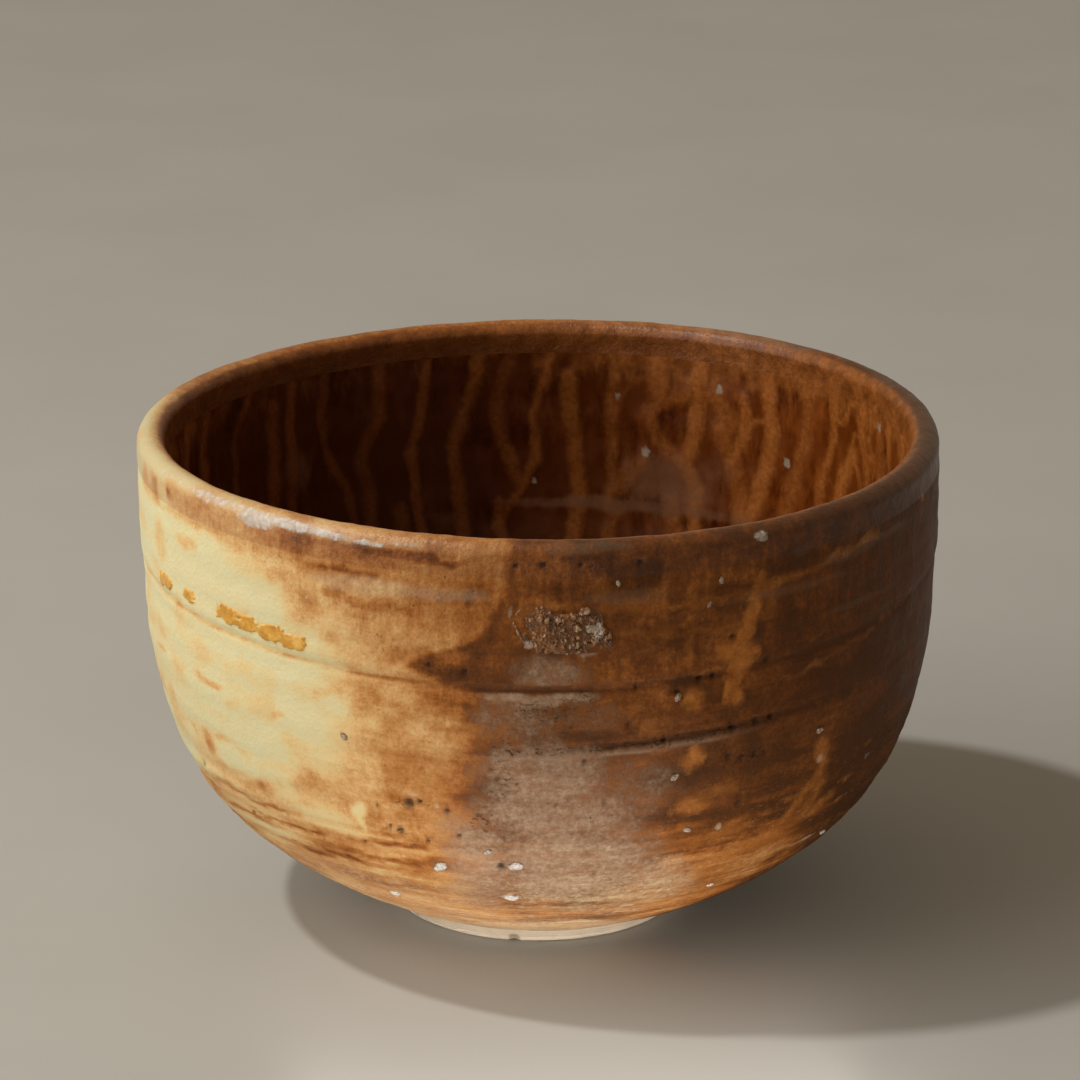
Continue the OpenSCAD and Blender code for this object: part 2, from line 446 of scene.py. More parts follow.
CREAM_RUNS = (
    (-27.5, 32.4, 1.6, 1.6, -0.30), (-27.2, 30.2, 0.8, 2.6, -0.26), (-34, 28.5, 8, 3.0, -0.20),
    (-40, 33, 6, 2.4, -0.16), (-38, 22.5, 12, 4.0, -0.15), (-64, 73, 1.3, 2.6, -0.1),
    (-24.5, 40, 1.4, 4, -0.10), (-14, 48, 4, 2.6, -0.12), (-16, 32, 6, 4, -0.16),
    (-27, 23, 7, 3, -0.22), (-28, 71.6, 6, 1.6, -0.06), (-14, 47, 5, 3, -0.16), (0, 68, 4, 5, -0.06),
    (-14, 59, 4, 3, -0.08), (44, 43, 9, 5, -0.07), (44, 18, 8, 5, -0.09), (57, 17, 8, 6, -0.08),
    (-42, 17.5, 8, 2.4, -0.12), (-15, 25, 6, 4, -0.10),
)
# Painted sheen: a grey haze on the front of the belly, where the glaze reflects the bright room
SHEEN_HAZE = (
    (-3, 49, 7, 4.4, 0.42), (0, 41.5, 10, 4.5, 0.62), (2, 34, 12.5, 5, 0.72), (4, 27, 13.5, 5, 0.78),
    (-1, 52.9, 7, 1.1, 0.95), (9, 44.3, 9, 0.5, 0.55), (1.5, 56.6, 5.2, 2.8, 0.58),
    (14, 38, 6, 5, 0.38), (7, 50, 5, 3, 0.3), (-12, 24, 8, 10, 0.8), (6, 22, 14, 4.4, 0.75),
    (1, 39, 9, 4, 0.75),
)
PALE = (
    (5, 19.5, 13, 3.6, 0.55), (16, 19, 12, 5, 0.58), (4, 13.5, 22, 3, 0.42), (3, 6, 22, 4.6, 0.95),
    (19, 23, 5, 2.4, 0.5), (-32, 15, 30, 5.4, 0.42), (-24, 8, 50, 4.6, 0.56), (50, 20.6, 3.6, 0.7, 0.4),
    (-40, 19, 10, 2, 0.4),
)
ORANGE = (
    (21, 51.4, 1.6, 2.0, 0.6), (14.6, 48, 1.2, 1.8, 0.4), (15.8, 46.8, 1.0, 1.0, 0.4),
    (21.4, 42, 1.7, 2.2, 0.7), (22, 34, 3.2, 1.3, 0.65), (25, 36, 5, 1.2, 0.4), (38, 24.4, 7, 1.5, 0.6),
    (25, 27.5, 6, 1.2, 0.5), (33, 20, 10, 2.0, 0.5), (40, 31.6, 2.4, 0.8, 0.4),
    (31, 28.6, 4, 1.0, 0.45), (22, 30.6, 2.6, 1.0, 0.4), (41, 57.6, 4, 0.6, 0.3),
    (3, 66.9, 3.4, 0.7, 0.6), (12, 66.7, 6, 0.8, 0.4), (-8, 64, 1.6, 3, 0.3), (38, 14, 12, 2, 0.4),
    (54, 31, 5, 0.5, 0.4), (56, 36, 3, 0.4, 0.35), (50, 27, 5, 0.5, 0.45), (33, 64, 1.2, 1.4, 0.3),
    (46, 59, 2, 0.6, 0.3), (-172, 40, 5, 8, 0.5), (158, 62, 4, 6, 0.5), (131, 34, 4, 7, 0.5),
)
# Orange drips: a chain of (turn, height in mm), then its half width in mm and its strength
DRIPS = (
    (((31.2, 68.4), (29.8, 65.4)), 1.8, 0.75), (((29.8, 65.4), (29.2, 62), (28.8, 59)), 2.3, 0.95),
    (((26.0, 58.4), (28, 57.8), (29.6, 57.2)), 2.7, 0.9),
    (((28.8, 56.6), (27.8, 54), (27.2, 51.2)), 2.7, 1.15),
    (((44.2, 39.4), (45.2, 36), (44, 33), (41.6, 29)), 2.9, 0.62), (((20.4, 61), (20.2, 57)), 1.4, 0.4),
    (((45.6, 32), (44, 27.6), (38, 24.6)), 3.4, 0.5),
    (((8, 66.4), (24, 66.0), (40, 68.0), (54, 70.2)), 1.5, 0.42),
    (((10, 62.4), (24, 61.6), (34, 62.6)), 1.2, 0.36),
    (((36, 52.2), (52, 54.6), (66, 57.4)), 1.3, 0.34), (((26, 22), (38, 25), (50, 29)), 2.4, 0.5),
)
# Painted sheen: grey highlights of the glossy glaze on the rim band, the lip and the dark side
GREY_SHEEN = (
    (-24, 68.1, 8, 1.4, 0.95), (-14, 68.0, 7, 1.1, 0.8), (12, 68, 6.4, 1.2, 0.36),
    (47, 68.4, 6.5, 1.2, 0.34), (-33, 75, 8, 1.0, 0.75), (-26, 74.4, 6, 0.8, 0.6),
    (-13, 74.9, 9, 0.8, 0.42), (5, 75.2, 8, 0.9, 0.4), (-54, 75.6, 12, 0.8, 0.5),
    (0, 75.4, 180, 0.7, 0.16), (38, 71.2, 2, 1.0, 0.3), (42, 74.2, 3.2, 0.8, 0.3),
    (57, 57.6, 8, 0.5, 0.2), (64, 50, 9, 0.5, 0.2), (-10, 71, 1.5, 2, 0.1), (36, 65.6, 12, 0.9, 0.34),
    (56, 69.0, 10, 0.8, 0.34), (30, 58.6, 3, 1.2, 0.2), (50, 60.4, 10, 0.7, 0.3),
)
# Pale crystals that catch on the rim
FROST = (
    (-41.5, 74.6, 3.6, 1.2, 1.0), (-35.5, 74.9, 5, 0.6, 0.9), (-29, 74.7, 4, 0.5, 0.8),
    (-22.6, 74.4, 3, 0.4, 0.7), (-50, 75.2, 7, 0.7, 0.6), (-60, 75.3, 8, 0.5, 0.4),
    (-18, 74.8, 3, 0.3, 0.5), (31, 74.6, 1.0, 0.7, 0.7), (130, 75.4, 8, 0.6, 0.5),
    (-150, 75.3, 12, 0.6, 0.5),
)
SOOT = (
    (-5, 43, 2.6, 12, 0.6), (2, 50, 8, 5, 0.55), (5, 73, 11, 0.9, 0.8), (-11, 56.8, 6, 1.8, 0.6),
    (17, 45.6, 13, 0.8, 0.75), (30, 41, 4, 1.3, 0.75), (3, 62.5, 8, 4.5, 0.5), (60, 73.4, 6, 0.9, 0.6),
    (24, 55, 12, 1.0, 0.5), (2, 34, 10, 6, 0.4), (-8, 33, 3, 3, 0.7), (-18, 33, 5, 3, 0.4),
    (28, 38, 12, 4, 0.35), (30, 22, 14, 6, 0.35), (-20, 31, 9, 6, 0.42), (30, 60, 20, 10, 0.2),
    (-19, 35, 3.4, 1.3, 0.8), (-22, 30, 3, 1.2, 0.7),
)
FLECKS = (
    (31.4, 74.2, 0.8, 0.6, 0.7), (23.2, 65.6, 0.4, 0.6, 0.6), (26.4, 29.4, 0.9, 0.8, 0.6),
    (44.8, 37.2, 0.7, 0.9, 0.5), (17, 14.4, 1.3, 0.5, 0.7), (7.8, 63.2, 0.6, 1.2, 0.9),
    (-1.4, 61.2, 0.9, 0.7, 0.6), (-3.8, 66, 0.3, 1.2, 0.5), (10, 28, 0.7, 0.6, 0.5),
    (-33, 64.8, 0.4, 0.5, 0.7), (6, 59.4, 1.4, 0.4, 0.5), (51, 21, 2.2, 0.4, 0.6),
    (-32, 68.3, 0.4, 0.4, 0.6), (57.6, 33.6, 0.7, 0.5, 0.4), (69.4, 71, 0.7, 1.0, 0.5),
    (-18.4, 36.6, 1.2, 0.4, 0.6), (-20.6, 31.2, 0.8, 0.4, 0.6), (-14.6, 35.2, 0.6, 0.5, 0.5),
)


def edge_at(z, edge):
    """The turn at which an edge lies at a height."""
    heights, at = zip(*edge)
    return np.interp(z, heights, at)


def run_field(turn, z, chain, width):
    """1 on a chain of runs, falling to 0 beside it."""
    nearest = np.full(turn.shape, 1e3)
    for (t0, z0), (t1, z1) in zip(chain, chain[1:]):
        across, up = (t1 - t0) * ARC, z1 - z0
        x, y = off(turn, t0) * ARC, z - z0
        along = np.clip((x * across + y * up) / (across ** 2 + up ** 2), 0, 1)
        nearest = np.minimum(nearest, np.hypot(x - along * across, y - along * up))
    return 1 - step(0.1 * width, width, nearest)


def glaze_fields(turn, z, points):
    """How the outside glaze varies: its iron, from 0 (cream) to 1 (dark), and its marks."""
    wide = fractal(points, 9 * MM, 201, 3)
    fine = fractal(points, 2.4 * MM, 211, 3)
    # Turns and heights pushed about by noise, so that what is laid by them gets ragged edges
    t = turn + 2.6 * wide + 1.3 * fine
    h = z + 1.1 * fractal(points, 6 * MM, 221, 3) + 0.5 * fractal(points, 1.9 * MM, 231, 2)
    loose = 1 - step(52, 56, z)
    near = turn + (0.5 + 1.5 * loose) * wide + (0.8 + 1.0 * loose) * fine
    low = z + 0.35 * fine
    torn_t = turn + 0.8 * wide + 1.3 * fractal(points, 1.5 * MM, 271, 3, 0.6)
    torn_h = z + 1.1 * fractal(points, 1.7 * MM, 281, 3, 0.6)

    iron = 0.15 + 0.06 * fractal(points, 20 * MM, 241, 3)
    iron = iron + 0.13 * step(0.02, 0.42, fractal(points, (7 * MM, 7 * MM, 5 * MM), 291, 4))
    # Each edge crossed towards the right adds iron
    cream = edge_at(h, CREAM_ENDS)
    ochre = edge_at(h, OCHRE_STARTS)
    brown = edge_at(low, BROWN_STARTS)
    dark = edge_at(h, DARK_STARTS)
    soft = 1 + 1.2 * step(42, 58, h)
    iron = iron + 0.26 * step(cream - 6 * soft, cream + 5 * soft, t)
    iron = iron + 0.19 * step(ochre - 8 * soft, ochre + 10, t)
    iron = iron + 0.24 * step(brown - 1.0 - 4 * loose, brown + 1.0 + 3 * loose, near)
    iron = iron + 0.14 * step(dark - 10, dark + 12, t)
    # Thinner low down and in the middle of the front, and cream again on the left of the back
    iron = iron - 0.17 * within(t, 10, 22, 34, 50) * (1 - step(20, 33, h))
    iron = iron - 0.07 * within(t, -170, -130, -20, 20) * (1 - step(12, 21, h))
    iron = iron - 0.045 * within(t, -10, 0, 36, 56) * within(h, 30, 38, 73, 75)
    iron = iron - 0.34 * step(112, 158, t + 9 * wide)
    iron = iron + 0.49 * (1 - step(-158, -96, t + 10 * wide))
    for listed in (RUST, BROWN_DAPPLES, CREAM_RUNS):
        iron = iron + patches(t, h, listed, 0.5)

    # Trimming streaks on the belly, drips above, glaze caught by the groove, a darker line above the
    # ridge
    streak = fractal(points, (11 * MM, 11 * MM, 1.0 * MM), 251, 3)
    drip = fractal(points, (1.6 * MM, 1.6 * MM, 16 * MM), 261, 3)
    trimmed = 1 - step(27, 34 + 14 * step(5, 20, turn), z)
    iron = iron + streak * (0.03 + 0.19 * trimmed)
    iron = iron + drip * 0.07 * step(56, 60, z) * step(-12, 0, turn)
    groove = bell(z, groove_level(turn) - 0.1, 0.36) * (1 + 0.7 * bell(off(turn, -47), 0, 16))
    ridge = ridge_level(turn) + 0.3 * fractal(points, 26 * MM, 41, 2)
    drawn = ridge_reach(turn)
    iron = iron + groove * 0.24 * (0.7 + 0.6 * fine)
    iron = iron + 0.3 * drawn * bell(z, ridge + 0.55, 0.4)

    # Up to here the glaze has drawn back from its lower edge, and the clay shows
    drawn_back = GLAZE_LINE / MM + 0.6 + 1.3 * bell(off(turn, -14), 0, 26) + 0.35 * wide
    # The painted sheen keeps out of the groove and ends at a ragged line on the left
    level = groove_level(turn)
    in_groove = within(z, level - 0.9, level - 0.3, level + 0.5, level + 1)
    cut = np.where(z < level + 6, 1 - in_groove, 1)
    left = -12.4 - 5 * loose - 3 * (1 - step(34, 39, h))
    sheen_haze = patches(near, h, SHEEN_HAZE, 0.6) * cut * step(left, left + 3.8 + 7 * loose, near)
    orange = patches(torn_t, torn_h, ORANGE, 0.6)
    for chain, width, strength in DRIPS:
        orange = np.maximum(orange, strength * run_field(torn_t, torn_h, chain, width))
    return {
        "iron": iron, "sheen_haze": sheen_haze, "pale": patches(t, h, PALE, 0.6),
        "orange": orange, "grey_sheen": patches(near, low, GREY_SHEEN, 0.5),
        "frost": patches(near, low, FROST, 0.6),
        "soot": np.clip(patches(t, h, SOOT, 0.7) + 0.9 * drawn * bell(z, ridge + 0.6, 0.5), 0, 1),
        "fleck": patches(near, low, FLECKS, 0.4), "pit": pits(turn, z),
        "raw": 1 - step(10, 32 + 16 * step(5, 20, turn), z),
        # A painted highlight along the lower edge of the ridge, where light catches it
        "ridge_highlight": drawn * (1 - step(22, 34, turn)) * bell(z, ridge - 0.35, 0.34) * (0.7 + 0.6 * fine),
        "upper": step(54, 58, z),
        "bare": 1 - step(drawn_back - 0.15, drawn_back + 0.3, z + 0.3 * fine),
    }


# Runs of thick glaze inside: each a chain of (turn, height in mm)
RUNS = (
    ((117, 73), (116, 67), (113.5, 60), (112, 54)), ((118.5, 62), (121, 57), (122, 52)),
    ((124.5, 72), (124, 65), (126.5, 56), (127, 48)), ((131, 73), (131, 60), (134, 51), (135, 42)),
    ((140, 72), (138.5, 58), (140, 52), (142, 46), (143, 38)), ((144.5, 66), (144, 60), (146.5, 55)),
    ((149, 65.6), (147, 62), (148.5, 60), (146.5, 55), (144, 50), (144, 46)),
    ((149, 65.6), (153, 64.6), (158, 64.4), (161.5, 62), (160, 57), (156, 54)),
    ((152.5, 73), (153, 60), (155.5, 54), (153, 50), (152.5, 40)), ((160.5, 73), (160, 65)),
    ((168, 74), (168, 60), (167.5, 50), (168.5, 38)), ((163, 53), (167, 49)),
    ((175, 67), (174.5, 55), (173, 47), (174, 40)),
    ((178, 72), (179, 65), (181, 60), (180.5, 53), (184, 48), (187, 41)),
    ((185, 69), (187, 60), (184, 50)),
    ((190, 72), (190, 66), (193, 61), (195, 56), (194, 48), (193, 38)),
    ((199, 72), (200, 62), (202, 55), (202, 48), (200, 40)),
    ((207.5, 73), (208, 62), (211, 55), (210, 42)),
    ((217.5, 73), (218.5, 65), (218.5, 58), (215, 52), (213, 42)),
    ((224, 73), (225, 62), (225, 57), (226, 50)), ((229, 67), (229, 58), (231, 48)),
    ((234, 73), (239, 64), (240, 54), (238, 44)), ((247, 73), (249, 64), (248, 54)),
    ((255, 73), (256, 62), (258, 50)), ((106, 72), (105, 64), (103, 55)),
    ((110, 69), (108.5, 63), (109, 56)),
)
# Painted sheen inside: a warm haze where the glossy glaze reflects the lit rim and the room
INSIDE_SHEEN = (
    (158, 50, 9, 5, 0.7), (150, 53, 5, 4, 0.5), (164, 46, 22, 1.2, 0.9), (149, 49, 2, 2, 0.4),
    (224.5, 56, 3, 3.4, 0.5), (200, 44, 14, 1.2, 0.3),
)
INSIDE_FLECKS = (
    (149, 66.8, 0.6, 0.7, 1), (162, 55, 0.8, 0.9, 0.8), (135, 57, 0.7, 0.8, 1),
    (110, 69, 0.7, 0.8, 0.8), (121, 72.7, 0.7, 0.7, 0.8), (167, 64, 0.6, 0.6, 0.6),
    (181, 49.5, 0.6, 0.6, 0.6), (206.5, 72, 0.5, 0.5, 0.6), (60, 50, 0.8, 0.9, 0.8),
    (20, 62, 0.7, 0.8, 0.8), (-40, 44, 0.8, 0.9, 0.7), (-75, 30, 1.2, 0.9, 0.8),
)


def more_runs():
    """Runs of glaze on the near side of the inside, and a few long ones all round."""
    rng = np.random.default_rng(8)
    runs = []
    for at in np.arange(-94, 100, 6.4):
        turn, z = at + rng.uniform(-1.5, 1.5), rng.uniform(69, 74)
        chain = [(turn, z)]
        while z > rng.uniform(32, 50):
            turn, z = turn + rng.uniform(-2.4, 2.4), z - rng.uniform(6, 11)
            chain.append((turn, z))
        runs.append(chain)
    for at in np.arange(0, 360, 17):
        turn = at + rng.uniform(-5, 5)
        runs.append([(turn, 46), (turn + rng.uniform(-4, 4), 34), (turn + rng.uniform(-4, 4), 24)])
    return runs


def shaded_side(turn):
    """1 on the left of the inside, where painted shade darkens the glaze, 0 on the right."""
    return np.exp(-(off(turn, 214) / 56) ** 4)


def inside_fields(turn, z, points):
    """How the inside glaze varies: its runs, its pale flecks, its painted sheen, its painted shade and
    its pool.
    """
    wide = fractal(points, 7 * MM, 301, 3)
    fine = fractal(points, 2.2 * MM, 311, 3)
    t = turn + 1.1 * wide + 0.6 * fine
    h = z + 1.0 * wide + 0.4 * fine
    runs = np.zeros(turn.shape)
    for i, chain in enumerate(list(RUNS) + more_runs()):
        width = (2.2 + 0.6 * math.sin(2.3 * i)) * (1.25 if chain[0][0] < 170 else 1)
        runs = np.maximum(runs, run_field(t, h, chain, width) * (0.80 + 0.18 * math.sin(1.7 * i)))
    thickness_and_shade = shaded_side(turn)
    web = 1 - step(0.02, 0.15, np.abs(fractal(points, (6 * MM, 6 * MM, 10 * MM), 341, 2)))
    # Web and mottle are thinned under the painted shade on the left of the inside
    runs = np.maximum(runs, 0.75 * web * step(52, 62, z) * (1 - 0.7 * thickness_and_shade))
    runs = runs * (0.9 + 0.35 * fractal(points, (5 * MM, 5 * MM, 9 * MM), 321, 3))
    mottle = step(65.5, 70, z + 5 * fractal(points, (3 * MM, 3 * MM, 12 * MM), 331, 3))
    mottle = np.maximum(mottle, step(69.4, 70.8, z)) * (1 - 0.75 * thickness_and_shade)
    sheen_haze = patches(t, h, INSIDE_SHEEN, 0.6)
    flecks = patches(turn, z, INSIDE_FLECKS, 0.4)
    return {"run": runs, "mottle": mottle, "sheen_haze": sheen_haze, "fleck": flecks, "thickness_and_shade": thickness_and_shade,
            "pool": 1 - step(14, 26, z + 2 * wide)}


# ---------------------------------------------------------------- shapes of the pieces

def outside_path():
    """From the glaze line up to the lip's outer flank, with the throwing rings smoothed away."""
    low = [(outer_radius(outside_tree, z), z)
           for z in np.linspace(GLAZE_LINE + 0.01 * MM, LIP_LINE, 260)]
    top = [(outer_radius(outside_tree, z), z)
           for z in np.linspace(LIP_LINE, LIP_CENTRE_Z, 20)[1:]]
    return softened(low + top, 2.2 * MM)


def inside_path():
    """From the lip's inner edge down to the middle of the floor."""
    wall = [(inner_radius(inside_tree, z), z)
            for z in np.linspace(LIP_CENTRE_Z, FLOOR_Z + 9 * MM, 160)]
    floor = []
    for r in np.linspace(wall[-1][0], 0.4 * MM, 90)[1:]:
        hit = inside_tree.ray_cast(PLAIN * r + Vector((0, 0, 40 * MM)), Vector((0, 0, -1)))[0]
        floor.append((r, hit.z))
    return softened(wall + floor, 1.5 * MM)


OUTSIDE = outside_path()
INSIDE = inside_path()
WALL, FLANK = cut_at(OUTSIDE, LIP_LINE)
INNER_LIP = [np.interp(-LIP_LINE, -INSIDE[:, 1], INSIDE[:, 0]), LIP_LINE]
FRONT_TURNS = turns(640, 0.42)
BACK_TURNS = turns(600, -0.42)


def build_outside(material):
    """The outside's glaze coat, thinned and wavering at its lower edge."""
    path = resampled(WALL, 150)
    turn, z, points = places(path, FRONT_TURNS)
    run = run_along(path)[:, None]
    height = outside_relief(turn, z, points) * (1 - np.exp(-run / (2 * MM)))
    height -= 0.35 * MM * np.exp(-(run / (0.9 * MM)) ** 2)
    grid = bumped(path, FRONT_TURNS, height)
    grid[..., 2] += 0.45 * MM * fractal(points[:1], 9 * MM, 71, 3) * np.exp(-run / (2.5 * MM))
    back = spun(resampled(spans(WALL, GLAZE_T), 6)[::-1], FRONT_TURNS)
    obj = turned_mesh("outer_glaze_coat", shifted(np.concatenate([grid, back])),
                      fields=glaze_fields(turn, z, points))
    return placed(obj, "outer_glaze", material)


# Rows of the lip's mesh down each of its sides
LIP_EDGE = 9
# Painted grey sheen, a highlight on top of the lip at the back, with the share of the way over in place
# of the height
LIP_SHEEN = ((144, 0.60, 14, 0.12, 0.6), (168, 0.62, 12, 0.1, 0.35), (112, 0.60, 4, 0.12, 0.35))


def lip_fields(turn, z, points, share):
    """The outside's fields taken over the lip. share is the way over, 0 outside and 1 inside."""
    fields = glaze_fields(turn, z, points)
    inward = step(0.52, 0.70, share + 0.04 * fractal(points, 4 * MM, 85, 3))
    inner_iron = 0.83 + 0.16 * fractal(points, 4 * MM, 87, 3)
    iron = fields["iron"] * (1 - inward) + inner_iron * inward
    # Brown round the back, and a warm brown edge inside the cream on the left
    behind = 1 - step(-114, -90, turn + 5 * fractal(points, 5 * MM, 86, 3))
    iron = np.maximum(iron, 0.66 * behind)
    warm = bell(share, 0.585, 0.085) * within(turn, -150, -110, -60, 20)
    fields["iron"] = iron * (1 - 0.6 * warm) + 0.6 * 0.55 * warm
    # The outside's marks stop at the top, where there is an orange crest in front
    crest = bell(share, 0.56, 0.07) * within(turn, -8, 4, 60, 100)
    sheen = patches(turn + 2 * fractal(points, 5 * MM, 89, 2), share, LIP_SHEEN, 0.6)
    fields["frost"] *= 1 - step(0.36, 0.46, share)
    fields["sheen_haze"] *= 1 - inward
    fields["orange"] = np.maximum(fields["orange"] * (1 - inward), 0.5 * crest)
    fields["grey_sheen"] = fields["grey_sheen"] * (1 - step(0.42, 0.62, share)) + sheen
    fields["inward"] = inward
    # Painted shade over the lip's inner edge on the left
    fields["thickness_and_shade"] = shaded_side(turn) * step(0.62, 0.92, share)
    return fields


def build_lip(material):
    """The band of glaze over the lip, which joins the outside's marks to the inside's."""
    flank = resampled(FLANK, LIP_EDGE)
    arc = np.linspace(0, math.pi, 25)[1:-1]
    over = np.stack([WALL_R + LIP_T / 2 * (np.cos(arc) - 1), LIP_CENTRE_Z + LIP_T / 2 * np.sin(arc)], 1)
    inner = resampled(np.vstack([INSIDE[INSIDE[:, 1] > LIP_LINE], [INNER_LIP]]), LIP_EDGE)
    path = np.vstack([flank, over, inner])
    turn, z, points = places(path, FRONT_TURNS)
    outer_height = outside_relief(*(a[:LIP_EDGE] for a in (turn, z, points)))
    run_in = (run_along(path) - run_along(path)[-LIP_EDGE])[-LIP_EDGE:, None]
    inner_height = inside_relief(turn[-LIP_EDGE:], points[-LIP_EDGE:], run_in)
    blend = smooth(np.linspace(0, 1, len(over)))[:, None]
    over_height = outer_height[-1] * (1 - blend) + inner_height[0] * blend
    height = np.vstack([outer_height, over_height, inner_height])
    share = np.linspace(0, 1, len(path))[:, None]
    height += 0.20 * MM * fractal(points, 6 * MM, 81, 4, 0.6) * np.sin(math.pi * share) ** 0.5
    fields = lip_fields(turn, z, points, share)
    height += 0.16 * MM * fields["frost"] * (0.6 + fractal(points, 1.2 * MM, 83, 3, 0.6))
    grid = bumped(path, FRONT_TURNS, height)
    back = spun(resampled(spans(path, GLAZE_T * 1.02), 10)[::-1], FRONT_TURNS)
    obj = turned_mesh("lip_glaze_band", shifted(np.concatenate([grid, back])), fields=fields)
    return placed(obj, "lip_glaze", material)


def build_inside(material):
    """The dark glaze coat of the well, a little thicker where it has run."""
    path = resampled(np.vstack([[INNER_LIP], INSIDE[INSIDE[:, 1] <= LIP_LINE]]), 130)
    turn, z, points = places(path, BACK_TURNS)
    height = inside_relief(turn, points, run_along(path)[:, None])
    fields = inside_fields(turn, z, points)
    height = height + 0.14 * MM * fields["run"] * step(1, 3, np.arange(len(path)))[:, None]
    grid = bumped(path, BACK_TURNS, height)
    back = spun(resampled(spans(path, GLAZE_T), 8), BACK_TURNS)
    # From the middle of the floor up to the lip, over it and down the hidden back
    rows = np.concatenate([grid[::-1], back])
    obj = turned_mesh("inner_glaze_coat", shifted(rows), poles=True,
                      fields={name: values[::-1] for name, values in fields.items()})
    return placed(obj, "inner_glaze", material)


# Smudges of ash on the foot
FOOT_ASH = ((-9, 0.6, 3, 1, 0.9), (60, 2, 30, 3, 0.3), (-140, 2, 40, 3, 0.4), (150, 1, 14, 2, 0.5))


def build_foot(material):
    """The foot ring: its resting land, its outer side, its top and its inner side."""
    heights = np.concatenate([np.linspace(0.02, 0.8, 9), np.linspace(1.1, 5.9, 22)]) * MM
    outer = np.array([(outer_radius(foot_tree, z), z) for z in heights])
    inner = np.array([(inner_radius(foot_tree, z), z) for z in heights])
    land = np.linspace(inner[0], outer[0], 12)[1:-1]
    top = np.linspace(outer[-1] + (0, 0.08 * MM), inner[-1] + (0, 0.08 * MM), 6)
    path = np.vstack([land, outer, top, inner[::-1]])
    angles = turns(420, 0.3)
    turn, z, points = places(path, angles)
    low = 1 - step(2.2, 3.4, z)
    height = (0.16 * fractal(points, 7 * MM, 91, 4)
              + 0.07 * fractal(points, (14 * MM, 14 * MM, 0.8 * MM), 95, 3)) * MM * low
    height -= 0.5 * MM * bell(off(turn, -9), 0, 1.6) * (1 - step(0.3, 1.4, z))
    r = np.hypot(points[..., 0], points[..., 1])
    side = np.where(r > (inner[0][0] + outer[0][0]) / 2, 1.0, -1.0)
    side[:len(land)] = 0
    r = r + side * height
    lean = -0.6 * MM * (1 - step(2.5, 6, z))
    grid = np.stack([r * np.sin(angles) + lean, -r * np.cos(angles), z * MM], -1)
    ash = patches(turn + 4 * fractal(points, 5 * MM, 97, 3), z, FOOT_ASH, 0.7)
    obj = turned_mesh("foot_ring_clay", grid, fields={"burn": step(0.8, 2.8, z), "ash": ash})
    return placed(obj, "foot_ring", material)


def build_clay(material):
    """The clay under the glazes, and the hollow inside the foot with its turning swirl and nub."""
    hollow_r = inner_radius(foot_tree, JOINT_Z - 0.2 * MM)
    radii = np.concatenate([
        np.linspace(0.3 * MM, hollow_r, 70), np.linspace(hollow_r + 1 * MM, 28 * MM, 6)])
    nub = -0.9 * bell(radii, 0, 2.6 * MM)
    ditch = 0.5 * bell(radii, hollow_r - 1.5 * MM, 1.2 * MM)
    shown = 1 - step(hollow_r - 0.6 * MM, hollow_r, radii)
    base = np.stack([radii, JOINT_Z + 0.1 * MM + (nub + ditch) * MM * shown], 1)
    outer = spans(OUTSIDE, GLAZE_T * 1.08)
    outer = outer[outer[:, 1] > JOINT_Z + 0.4 * MM]
    inner = spans(INSIDE, GLAZE_T * 1.08)
    path = np.vstack([resampled(outer, 26), resampled(inner, 40)])
    angles = turns(360, 0)
    floor = spun(base, angles)
    rough = fractal(floor, 3 * MM, 101, 3)
    swirl = np.sin(TAU * radii[:, None] / (2.6 * MM) + angles)
    floor[..., 2] += (0.12 * rough + 0.20 * swirl) * MM * shown[:, None]
    grid = np.concatenate([floor, shifted(spun(path, angles))])
    hollow = np.broadcast_to((radii / hollow_r)[:, None], floor.shape[:2])
    obj = turned_mesh("clay_body_thrown", grid, poles=True, fields={"out": np.clip(hollow, 0, 1)})
    return placed(obj, "clay_body", material)


def on_wall(turn, z, out):
    """Points on the leaned, rippled outside wall, moved out by out (metres). All are arrays."""
    r = np.interp(z * MM, OUTSIDE[:, 1], OUTSIDE[:, 0])
    n = normals(OUTSIDE)
    n_r, n_z = (np.interp(z * MM, OUTSIDE[:, 1], n[:, k]) for k in (0, 1))
    angle = np.radians(turn)
    flat = np.stack([r * np.sin(angle), -r * np.cos(angle), z * MM], -1)
    out = out + outside_relief(turn, z, flat)
    r, level = r + n_r * out, z * MM + n_z * out
    return shifted(np.stack([r * np.sin(angle), -r * np.cos(angle), level], -1))


# A skin this far under the wall's surface is left out
SUNK = -0.1 * MM


def skin(name, turn, z, height, fields):
    """A closed skin lying on the outside wall, from its height over a grid.

    It ends where it has sunk into the wall.
    """
    count = turn.size
    under = np.full(turn.shape, -0.35 * MM)
    points = np.concatenate([on_wall(turn, z, out).reshape(-1, 3) for out in (height, under)])
    index = np.arange(count).reshape(turn.shape)
    quads = np.stack([index[:-1, :-1], index[:-1, 1:], index[1:, 1:], index[1:, :-1]], -1)
    shown = (height.reshape(-1)[quads] > SUNK).any(-1)
    shown[[0, -1]] = False
    shown[:, [0, -1]] = False
    top = quads[shown]
    edges = {(quad[i - 1], quad[i]) for quad in top.tolist() for i in range(4)}
    sides = [(b, a, a + count, b + count) for a, b in sorted(edges) if (b, a) not in edges]
    faces = np.concatenate([top, top[:, ::-1] + count, sides])
    used, faces = np.unique(faces, return_inverse=True)
    mesh = bpy.data.meshes.new(name)
    mesh.from_pydata(points[used].tolist(), [], faces.reshape(-1, 4).tolist())
    for field, values in fields.items():
        full = np.concatenate([values.reshape(-1), np.zeros(count)])[used]
        mesh.attributes.new(field, "FLOAT", "POINT").data.foreach_set("value", full.astype(np.float32))
    return mesh_object(name, mesh)


